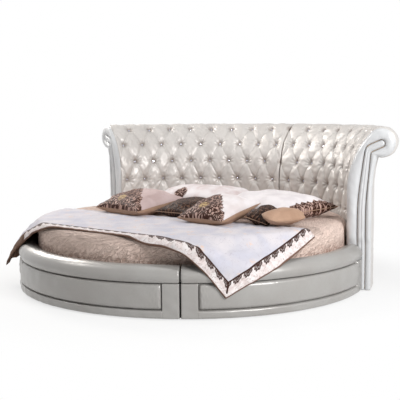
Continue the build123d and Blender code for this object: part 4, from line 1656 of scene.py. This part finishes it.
# How the throw falls: angle, radius and height of its shoulder, radius and height of its tail
THROW_FALLS = np.array(
    [
        (-195, 1.010, 0.37, 1.012, 0.20), (-180, 1.014, 0.36, 1.030, 0.20), (-165, 1.022, 0.35, 1.040, 0.20),
        (-151, 1.050, 0.328, 1.095, 0.15), (-143, 1.086, 0.320, 1.175, 0.10), (-138.6, 1.104, 0.318, 1.240, 0.09),
        (-134, 1.100, 0.322, 1.220, 0.11), (-124, 1.058, 0.358, 1.100, 0.20), (-114, 1.025, 0.385, 1.040, 0.20),
        (-95, 1.010, 0.37, 1.012, 0.20), (-66, 1.012, 0.38, 1.016, 0.20), (-59, 1.075, 0.398, 1.09, 0.20),
        (-53, 1.118, 0.400, 1.128, 0.14), (-46.5, 1.122, 0.372, 1.128, 0.09), (-41.6, 1.124, 0.300, 1.128, 0.08),
        (-32, 1.124, 0.283, 1.128, 0.10), (-21, 1.112, 0.283, 1.122, 0.16), (-8, 1.035, 0.345, 1.06, 0.22),
        (15, 1.012, 0.375, 1.014, 0.22),
    ]
)


@dataclass
class Bedding:
    """The mattress, its fitted spread and the quilted throw."""

    ticking: Material
    spread_cloth: Material
    throw_cloth: Material
    binding: Material
    columns: int = 720
    mattress_low: float = 0.1905
    mattress_high: float = 0.4170
    spread_thick: float = 0.0070
    spread_bend: float = 0.062
    spread_hem: float = 0.2215
    fall_start: float = 0.80
    fall_step: float = 0.002
    half_width: float = 1.06
    depth: float = 0.74

    def around(self) -> Array:
        """Angles all round the bed."""
        return np.linspace(0, 360, self.columns, endpoint=False)[None, :]

    def spin_uv(self, radius: Array, run: Array) -> Array:
        """Cloth coordinates for a turned surface, with the closing column."""
        turn = np.radians(np.linspace(0, 360, self.columns + 1))[None, :]
        return pairs(turn * np.maximum(radius, 0.3), run)

    def spin(self, name: str, rows: Array, uv: Array) -> Mesh:
        """A turned surface, shut on the axis at both ends."""
        ends = [np.array([0, 0, row[:, 2].mean()]) for row in (rows[0], rows[-1])]
        return spun(name, rows, *ends, uv)

    def build(self) -> None:
        """Builds and dresses the mattress, the spread and the throw."""
        self.mattress()
        self.spread()
        self.throw()

    def mattress(self) -> None:
        """The round mattress with its quilted border."""
        edge, low, high = RINGS.mattress - 0.0015, self.mattress_low, self.mattress_high
        line = rounded([(0.0, low), (edge, low), (edge, high), (0.0, high)], [0, 0.030, 0.054, 0])
        flats = np.linspace([0.02, low], [0.94, low], 24), np.linspace([0.93, high], [0.02, high], 24)
        line = resample(np.vstack([flats[0], line[1:-1], flats[1]]), 190)
        turn = self.around()
        side = ease(line[:, :1], edge - 0.004, edge)
        quilt = np.abs(np.sin(arc(turn, 36))) ** 0.5 * side * 0.0012
        rows = polar(turn, line[:, :1] - 0.0012 * side + quilt, line[:, 1:])
        mesh = self.spin("mattress_body", rows, self.spin_uv(line[:, :1], lengths(line)[:, None]))
        piece = place("mattress_body", mesh, self.ticking, ["mattress"])

    def spread(self) -> None:
        """The fitted spread, with soft creases down its side."""
        top, edge, bend, hem = RINGS.spread_top, RINGS.spread, self.spread_bend, self.spread_hem
        outer = rounded([(0.03, top), (edge, top), (edge, hem)], [0, bend, 0])
        inward = np.linspace([0.03, top], [edge - bend - 0.005, top], 70)
        down = np.linspace([edge, top - bend - 0.004], [edge, hem], 40)
        outer = np.vstack([inward, outer[1:-1], down])
        out = left_of(outer)
        turn = self.around()
        radius, height = outer[:, :1], outer[:, 1:]
        where = polar(turn, radius, height)
        side = ease(top - height, 0.02, 0.07) * ease(height, 0.292, 0.312)
        creases = np.maximum(ripples(where * np.array([1, 1, 0.25]), 0.17, 61), -0.4)
        lift = side * 0.0035 * creases + 0.0012 * side * ripples(where * np.array([1, 1, 0.5]), 0.05, 62)
        lift = lift + (1 - ease(top - height, 0.0, 0.02)) * 0.0016 * (ripples(where, 0.35, 63) - 0.8)
        lift = lift - 0.0004 - (height < 0.29) * 0.0006
        rows_out = polar(turn, radius + out[:, :1] * lift, height + out[:, 1:] * lift)
        inner = outer - out * self.spread_thick
        rows_in = polar(turn, inner[:, :1], inner[:, 1:])[::-1]
        uv = self.spin_uv(radius, lengths(outer)[:, None])
        mesh = self.spin("spread_fitted", np.concatenate([rows_out, rows_in]), np.concatenate([uv, uv[::-1]]))
        piece = place("spread_fitted", mesh, self.spread_cloth, ["bedspread"])

    def throw_paths(self) -> tuple[Array, Array]:
        """How the throw falls over the edge in each direction.

        Returns:
            The angles, and for each a line of radius and height in even steps.
        """
        lie = RINGS.spread_top + 0.0006
        angles = np.arange(-195, 15.5, 0.5)
        table = np.stack([np.interp(angles, THROW_FALLS[:, 0], part) for part in THROW_FALLS.T[1:]], axis=1)
        lines = []
        for shoulder_r, shoulder_z, tail_r, tail_z in blurred(table, 6, 3.0, mode="edge"):
            corners = np.array([(self.fall_start, lie), (0.985, lie), (shoulder_r, shoulder_z), (tail_r, tail_z)])
            line = blurred(resample(corners, 420), 20, 11.0, mode="reflect", reflect_type="odd")
            lines.append(read_line(line, np.arange(0, 0.7, self.fall_step)))
        return angles, np.array(lines)

    def throw(self) -> None:
        """The quilted throw: flat on the mattress, its two front corners hanging."""
        angles, lines = self.throw_paths()
        across = np.linspace(-1, 1, 331)[None, :]
        along = np.linspace(0, 1, 121)[:, None]
        west = np.array([-1.034, -0.912]) * (1 - along) + np.array([-1.050, -0.25]) * along
        east = np.array([1.012, -0.900]) * (1 - along) + np.array([1.028, -0.122]) * along
        share = (across + 1) / 2
        flat_x = west[:, :1] * (1 - share) + east[:, :1] * share
        flat_y = west[:, 1:] * (1 - share) + east[:, 1:] * share
        flat_x = flat_x + 0.055 * np.sin(pi * along) * np.maximum(across, 0) ** 3
        flat_y = flat_y - (0.032 + 0.016 * across) * (1 - across**2) * (1 - along)
        radius = np.hypot(flat_x, flat_y)
        theta = np.degrees(np.arctan2(flat_y, flat_x))
        theta = np.where(theta > 15, theta - 360, theta)
        row = np.clip((theta - angles[0]) / (angles[1] - angles[0]), 0, len(angles) - 1.001)
        column = np.clip((radius - self.fall_start) / self.fall_step, 0, lines.shape[1] - 1.001)
        low_row, low_column = row.astype(int), column.astype(int)
        part_row, part_column = (row - low_row)[..., None], (column - low_column)[..., None]
        near, far = (
            lines[each, low_column] * (1 - part_column) + lines[each, low_column + 1] * part_column
            for each in (low_row, low_row + 1)
        )
        fall = near * (1 - part_row) + far * part_row
        on_top = radius < self.fall_start
        path_r = np.where(on_top, radius, fall[..., 0])
        path_z = np.where(on_top, RINGS.spread_top + 0.0006, fall[..., 1])
        under = polar(theta, path_r, path_z)
        normal = unit(np.cross(np.gradient(under, axis=1), np.gradient(under, axis=0)))
        normal[normal[..., 2] < -0.9] *= -1
        soft = (0.004 + 0.010 * ease(-across, 0.86, 0.97)) * ease(radius, 0.97, 1.10)
        soft = soft * ripples(np.stack([flat_x, flat_y], axis=-1), 0.085, 71)
        under = under + normal * np.maximum(soft, 0)[..., None]
        cloth = pairs(across * self.half_width, along * self.depth)
        side = self.half_width - np.abs(cloth[..., 0])
        hem = np.minimum(np.minimum(side, cloth[..., 1]), self.depth - cloth[..., 1])
        quilt = 0.0014 * (np.abs(np.sin(cloth[..., 0] * 26) * np.sin(cloth[..., 1] * 26)) ** 0.5)
        thick = 0.0082 + quilt + 0.0008 * ripples(cloth, 0.05, 72) - edge_fall(hem, 0.006) * 0.8
        thick = thick - 0.0018 * bell(hem - 0.075, 0.004)
        mesh = shell("throw_quilt", under + normal * thick[..., None], under, cloth)
        piece = place("throw_quilt", mesh, self.throw_cloth, ["throw"])
        mesh.materials.append(self.binding)
        turned = (np.arange(120)[:, None] < 13) & (np.arange(330)[None, :] < 58)
        material = np.ones(len(mesh.polygons), np.int32)
        material[: turned.size] = turned.reshape(-1)
        mesh.polygons.foreach_set("material_index", material)


@dataclass(frozen=True)
class PillowShape:
    """One pillow's size, turn and finish."""

    node: str
    length: float
    depth: float
    crown: float
    turn: float
    roll: float
    tip: float
    finish: str
    pull: float = 0.05
    seed: int = 0
    oval: float = 0.0


@dataclass
class Pillows:
    """The seven pillows."""

    finishes: dict[str, Material]
    shapes: Sequence[PillowShape]
    piping: Material
    steps: int = 52
    frames: int = 20
    most: float = 0.012

    def mesh(self, shape: PillowShape) -> tuple[Mesh, Array]:
        """A filled pillow about its own middle, and its seam line.

        Args:
            shape: The pillow.

        Returns:
            The mesh and the seam's points.
        """
        line = np.sin(np.linspace(-pi / 2, pi / 2, self.steps + 1) * 0.92) / sin(pi / 2 * 0.92)
        oval = shape.oval
        u, v = np.meshgrid(line, line)
        across = u * (1 - shape.pull * (1 - v**2) * np.abs(u) ** 3)
        along = v * (1 - shape.pull * (1 - u**2) * np.abs(v) ** 3)
        across, along = across * np.sqrt(1 - oval * v**2 / 2), along * np.sqrt(1 - oval * u**2 / 2)
        bend = 2.6 - 0.8 * oval
        full = np.maximum((1 - np.abs(u) ** bend) * (1 - np.abs(v) ** bend), 0) ** (0.42 + 0.1 * oval)
        flat = np.stack([across * shape.length / 2, along * shape.depth / 2], axis=-1)
        corner = (np.abs(u) * np.abs(v)) ** 2
        fan = pairs(np.arctan2(np.abs(v), np.abs(u)) * 0.12, np.hypot(u, v) * 0.012)
        folds = ripples(fan, 0.018, shape.seed)
        wave = 1 + 0.05 * ripples(flat, 0.16, shape.seed + 1) + 0.10 * corner * folds
        reach = np.maximum(np.abs(u), np.abs(v))
        gather = 0.0022 * ripples(flat, 0.03, shape.seed + 2) * bell(reach - 0.86, 0.10)
        top = shape.crown / 2 * full * wave + gather * full**0.3
        low = -shape.crown / 2 * full * (1 + 0.04 * ripples(flat, 0.14, shape.seed + 3))
        rim = reach > 0.999
        top, low = np.where(rim, 0.0012, top), np.where(rim, -0.0012, low)
        front = np.concatenate([flat, top[..., None]], axis=-1)
        back = np.concatenate([flat, low[..., None]], axis=-1)
        mesh = shell(shape.node, front, back, flat)
        self.fill(mesh, self.most * (1 - 0.5 * (oval > 0)))
        points = np.empty(len(mesh.vertices) * 3, np.float32)
        mesh.vertices.foreach_get("co", points)
        grids = points.reshape(2, *front.shape)
        seam = border((grids[0] + grids[1]) / 2)
        return self.smoothed(mesh), seam

    def fill(self, mesh: Mesh, most: float) -> None:
        """Lets the cloth swell over its filling and gather at its seam.

        Args:
            mesh: The pillow, whose points are moved.
            most: The longest move that is kept.
        """
        scene = bpy.context.scene
        start = np.empty(len(mesh.vertices) * 3, np.float32)
        mesh.vertices.foreach_get("co", start)
        worker = linked("filling", mesh.copy())
        seam = worker.vertex_groups.new(name="seam")
        seam.add(np.flatnonzero(np.abs(start.reshape(-1, 3)[:, 2]) < 0.0014).tolist(), 1.0, "REPLACE")
        cloth = worker.modifiers.new("cloth", "CLOTH")
        values = {
            "quality": 5,
            "mass": 0.3,
            "tension_stiffness": 12,
            "compression_stiffness": 12,
            "shear_stiffness": 4,
            "bending_stiffness": 0.08,
            "use_pressure": True,
            "uniform_pressure_force": 4.0,
            "vertex_group_shrink": "seam",
            "shrink_min": -0.05,
            "shrink_max": 0.06,
        }
        for key, value in values.items():
            setattr(cloth.settings, key, value)
        cloth.settings.effector_weights.gravity = 0
        cloth.point_cache.frame_start, cloth.point_cache.frame_end = 1, self.frames
        for frame_number in range(1, self.frames + 1):
            scene.frame_set(frame_number)
        settled = worker.evaluated_get(bpy.context.evaluated_depsgraph_get()).data
        end = np.empty_like(start)
        settled.vertices.foreach_get("co", end)
        scene.frame_set(1)
        move = (end - start).reshape(-1, 3)
        length = np.linalg.norm(move, axis=1)[:, None]
        move *= most / np.hypot(length, most)
        mesh.vertices.foreach_set("co", (start.reshape(-1, 3) + move).reshape(-1))
        mesh.update()
        spare = worker.data
        bpy.data.objects.remove(worker)
        bpy.data.meshes.remove(spare)
        LOG.info("%s: moved %.1f mm at most", mesh.name, float(length.max()) * 1000)

    def smoothed(self, mesh: Mesh) -> Mesh:
        """The mesh with one subdivision.

        Args:
            mesh: The mesh, which is used up.

        Returns:
            The finer mesh.
        """
        worker = linked("smoothing", mesh)
        worker.modifiers.new("subdivision", "SUBSURF").levels = 1
        finer = bpy.data.meshes.new_from_object(worker.evaluated_get(bpy.context.evaluated_depsgraph_get()))
        bpy.data.objects.remove(worker)
        bpy.data.meshes.remove(mesh)
        return finer

    def build(self) -> None:
        """Builds, places and dresses every pillow."""
        for shape in self.shapes:
            low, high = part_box(shape.node)
            matrix = Matrix.Translation((Vector(low) + Vector(high)) / 2)
            for angle, axis in ((shape.turn, "Z"), (shape.tip, "X"), (shape.roll, "Y")):
                matrix = matrix @ Matrix.Rotation(radians(angle), 4, axis)
            mesh, seam = self.mesh(shape)
            name = shape.node.replace("pillow", "cushion")
            slot = "tan_cloth" if shape.finish == "tan" else "pillow_cloth"
            piece = place(name, mesh, self.finishes[shape.finish], [shape.node], matrix)
            if shape.finish.startswith("front"):
                mesh.materials.append(self.finishes["tan"])
                count = self.steps**2 * 4
                index = np.zeros(len(mesh.polygons), np.int32)
                index[count : 2 * count] = 1
                mesh.polygons.foreach_set("material_index", index)
            cord = tube(name + "_piping", resample(seam, 220, True), 0.0022, True)
            trim = place(name + "_piping", cord, self.piping, (), matrix)


# Plain frame nodes

def dress_frame(effects: Effects) -> None:
    """Gives the timber, board, metal and plastic nodes their finishes.

    Args:
        effects: The shared effects.
    """
    finishes = {
        "plywood": Wood("birch_plywood", paint(205, 172, 128), paint(176, 138, 94), 16.0),
        "timber": Wood("pine_timber", paint(214, 178, 128), paint(178, 132, 84), 24.0),
        "slat_wood": Wood("poplar_slats", paint(224, 196, 152), paint(196, 160, 112), 20.0),
        "zinc_steel": Hard("zinc_plate", paint(178, 182, 186), paint(140, 146, 152), 1.0, 0.38),
        "black_steel": Hard("black_coat", paint(34, 34, 36), paint(22, 22, 24), 0.3, 0.45, 240.0, 0.0003),
        "black_plastic": Hard("glide_plastic", paint(28, 28, 30), paint(18, 18, 20), 0.0, 0.5, 300.0),
    }
    finishes = {slot: finish.material(effects) for slot, finish in finishes.items()}
    slots = {
        "plywood": ("outer_skin", "inner_skin", "ring_boards", "face_board", "back_board", "end_board"),
        "timber": ("rails", "ribs", "end_blocks", "bearers", "middle_beam"),
        "slat_wood": ("slats",),
        "zinc_steel": ("joint_bolts", "joint_nuts", "beam_hangers"),
        "black_steel": ("middle_legs",),
        "black_plastic": ("glides",),
    }
    for name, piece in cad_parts.items():
        for slot, endings in slots.items():
            if name.endswith(endings):
                if not piece.material_slots:
                    piece.data.materials.append(finishes[slot])
                for socket in piece.material_slots:
                    socket.material = finishes[slot]
                LOG.info("%s: %s", name, slot)


# Room

@dataclass(frozen=True)
class Studio:
    """Pale floor, soft lamps and the camera."""

    eye: tuple[float, float, float] = (3.58071, -4.3302, 1.12807)
    ahead: tuple[float, float, float] = (-0.62671, 0.77197, -0.1063)
    up: tuple[float, float, float] = (-0.06097, 0.08741, 0.9943)
    lens: float = 77.57
    ambient: float = 0.29

    def camera(self) -> None:
        """Sets the camera at the photograph's viewing angle."""
        data = bpy.data.cameras.new("camera")
        data.lens, data.sensor_width = self.lens, 36.0
        camera = linked("camera", data)
        ahead = Vector(self.ahead).normalized()
        right = ahead.cross(Vector(self.up)).normalized()
        up = right.cross(ahead)
        turn = Matrix((right, up, -ahead)).transposed().to_4x4()
        camera.matrix_world = Matrix.Translation(self.eye) @ turn
        bpy.context.scene.camera = camera

    def floor(self) -> None:
        """A wide pale floor that keeps the bed's shadow."""
        turns = np.linspace(0, 2 * pi, 96, endpoint=False)
        ring = np.stack([14 * np.cos(turns), 14 * np.sin(turns), 0 * turns], axis=1)
        mesh = bpy.data.meshes.new("floor")
        mesh.from_pydata(ring.tolist(), [], [list(range(96))])
        floor = linked("floor", mesh)
        material, graph, shader = new_material("floor_pale")
        graph.dress(shader, {"Base Color": (0.86, 0.86, 0.86), "Roughness": 0.9, "Specular IOR Level": 0.1})
        reach = graph.vector("LENGTH", {0: graph.spot("Object")}, "Value")
        share = graph.rise(reach, 1.15, 1.9, 0.7, 1.0) * graph.seen()
        glow = graph.signal("ShaderNodeEmission", {"Color": (1, 1, 1), "Strength": 1.0})
        both = graph.signal("ShaderNodeMixShader", {0: share, 1: Signal(graph, shader.outputs[0]), 2: glow})
        graph.feed(material.node_tree.nodes["Material Output"].inputs["Surface"], both)
        mesh.materials.append(material)

    def world(self) -> None:
        """Even pale light all round, and a white background."""
        world = bpy.data.worlds.new("studio")
        world.use_nodes = True
        bpy.context.scene.world = world
        graph = Graph(world.node_tree)
        strength = graph.rise(graph.seen(), 0.0, 1.0, self.ambient, 1.0)
        graph.dress(world.node_tree.nodes["Background"], {"Color": (1.0, 1.0, 1.0), "Strength": strength})

    def lamp(self, name: str, place_at: Sequence[float], size: float, power: float, colour: Paint) -> None:
        """One soft lamp that looks at the bed.

        Args:
            name: Its name.
            place_at: Where it stands.
            size: Its width.
            power: Its power in watts.
            colour: Its light's colour.
        """
        data = bpy.data.lights.new(name, "AREA")
        data.size, data.energy, data.color = size, power, colour
        lamp = linked(name, data)
        here = Vector(place_at)
        turn = (Vector((0, 0, 0.4)) - here).to_track_quat("-Z", "Y").to_matrix().to_4x4()
        lamp.matrix_world = Matrix.Translation(here) @ turn

    def build(self) -> None:
        """Sets up the camera, floor, world and lamps."""
        bpy.context.scene.view_settings.view_transform = "Standard"
        self.camera()
        self.floor()
        self.world()
        self.lamp("key", (4.3, -1.2, 2.5), 1.5, 170.0, (1.0, 1.0, 1.0))
        self.lamp("fill", (-3.3, 0.5, 2.6), 1.4, 84.0, (1.0, 0.95, 0.90))
        self.lamp("glance", (-2.6, -1.9, 3.4), 0.7, 28.0, (1.0, 0.98, 0.96))
        self.lamp("top", (0.4, -0.4, 4.2), 2.4, 25.0, (1.0, 1.0, 1.0))


def pillow_shapes() -> list[PillowShape]:
    """Every pillow with its size, turn and finish.

    Returns:
        The pillows, from the back to the front.
    """
    return [
        PillowShape("pillow_back_left", 0.700, 0.420, 0.145, 6, 0, 0, "back_left", 0.05, 101),
        PillowShape("pillow_back_right", 0.600, 0.540, 0.145, -3, 3, 0, "back_right", 0.04, 111),
        PillowShape("pillow_mid_left", 0.300, 0.400, 0.100, 0, 0, 4, "shadow", 0.07, 121),
        PillowShape("pillow_front_left", 0.460, 0.430, 0.135, -8, 0, 8, "front_left", 0.06, 131),
        PillowShape("pillow_front_centre", 0.370, 0.400, 0.125, -2, 0, 12, "front_centre", 0.06, 141),
        PillowShape("pillow_mid_right", 0.170, 0.240, 0.085, 2, 14, 12, "shadow", 0.06, 151),
        PillowShape("pillow_tan", 0.300, 0.160, 0.080, 76, 0, 16, "tan", 0.0, 161, 0.7),
    ]


def pillow_finishes(effects: Effects) -> dict[str, Material]:
    """The pillows' finishes.

    Args:
        effects: The shared effects.

    Returns:
        Name to material.
    """
    white, pink, tan_satin = paint(236, 231, 232), paint(202, 182, 180), paint(180, 148, 126)
    border_white, centre_white = paint(214, 207, 210), paint(210, 198, 196)
    # The shadow finish is the lace cloth painted darker: painted shade for the two pillows that lie in shade behind
    # the others.
    shadow = paint(110, 82, 64), paint(88, 64, 50), paint(36, 20, 14), paint(98, 72, 58)
    spotted = {"area": LaceArea.SPOT, "edge": 0.05, "flower": (-0.11, -0.165), "flower_radius": 0.001}
    left = {"edge": 0.03, "turn": -47.0, "flower": (-0.02, -0.13), "flower_radius": 0.04}
    centre = {"edge": 0.035, "turn": -41.0, "flower": (-0.02, -0.108), "flower_radius": 0.04}
    side = LaceArea.SIDE
    cloths = {
        "back_left": PillowCloth("pillow_white_spot", white, pink, **spotted),
        "back_right": PillowCloth("pillow_white_border", white, border_white, area=LaceArea.BORDER, edge=0.235),
        "shadow": PillowCloth("pillow_lace_dark", *shadow, side, 1.0),
        "front_left": PillowCloth("pillow_pink_lace", pink, paint(180, 156, 152), area=side, **left),
        "front_centre": PillowCloth("pillow_brown_lace", white, centre_white, area=side, **centre),
        "tan": PillowCloth("pillow_tan_satin", tan_satin, paint(160, 128, 106)),
    }
    return {name: cloth.material(effects) for name, cloth in cloths.items()}


def bed_finishes(effects: Effects) -> dict[str, Material]:
    """The leather, cloth and crystal of the bed itself.

    Args:
        effects: The shared effects.

    Returns:
        Name to material.
    """
    glass = {"metallic": 0.9, "roughness": 0.08, "scale": 60.0, "height": 0.00002, "coat": 0.6}
    ruched = {"threads": 260.0, "sheen": 0.03, "brush_height": 0.006}
    # A leatherette's numbers are its roughness, metallic share and coat
    finishes = [
        # pearl_warm carries painted shade in its button hollows.
        Leatherette(
            "pearl_warm", paint(207, 203, 199), paint(180, 173, 168), 0.42, 0.16, pit_shade_colour=paint(128, 112, 102)
        ),
        Leatherette("pearl_silver", paint(162, 160, 157), paint(142, 136, 131), 0.33, 0.22, 0.22),
        Leatherette("pearl_cool", paint(206, 207, 208), paint(186, 188, 191), 0.35, 0.15, 0.15),
        Hard("cut_crystal", paint(214, 216, 226), paint(160, 162, 176), **glass),
        # A near-black cloth for the seam strips' painted shadow.
        Woven("black_felt", paint(26, 25, 25), paint(18, 17, 17), sheen=0.0),
        Leatherette("pearl_plain", paint(205, 202, 199), paint(184, 178, 174), 0.42, 0.14),
        Woven("ticking", paint(226, 222, 214), paint(206, 200, 190)),
        # The spread's second colour is also its painted shade down the side.
        Woven("spread_peach", paint(242, 220, 208), paint(136, 98, 82), **ruched),
        Woven("throw_backing", paint(104, 78, 62), paint(84, 60, 48), sheen=0.03),
        ThrowCloth(),
        Woven("piping_tan", paint(166, 138, 118), paint(140, 112, 94), sheen=0.05),
    ]
    return {finish.name: finish.material(effects) for finish in finishes}


def main() -> None:
    """Builds the bed part by part and sets up the studio."""
    logging.basicConfig(level=logging.INFO, format="%(name)s %(message)s")
    effects = make_effects()
    Studio().build()
    looks = bed_finishes(effects)
    leather, seam = looks["pearl_silver"], RINGS.front_seam
    BaseSegment(leather, "right", seam, RINGS.head_end, RINGS.head_gap, seed=3).build()
    BaseSegment(leather, "left", seam, RINGS.head_end, RINGS.head_gap, seed=11, mirror=True).build()
    BaseSegment(leather, "front", -180 - seam, seam, RINGS.half_seam, seed=5).build()
    # Black strips deep in the two front seams, as painted shadow.
    for side in ("right", "left"):
        SeamShadowStrip(looks["black_felt"], side).build()
    head_looks = [looks[name] for name in ("pearl_warm", "pearl_cool", "pearl_plain", "cut_crystal")]
    for side in ("right", "left"):
        Headboard(side, *head_looks).build()
    Bedding(looks["ticking"], looks["spread_peach"], looks["throw_quilt"], looks["throw_backing"]).build()
    Pillows(pillow_finishes(effects), pillow_shapes(), looks["piping_tan"]).build()
    dress_frame(effects)


if __name__ == "__main__":
    main()
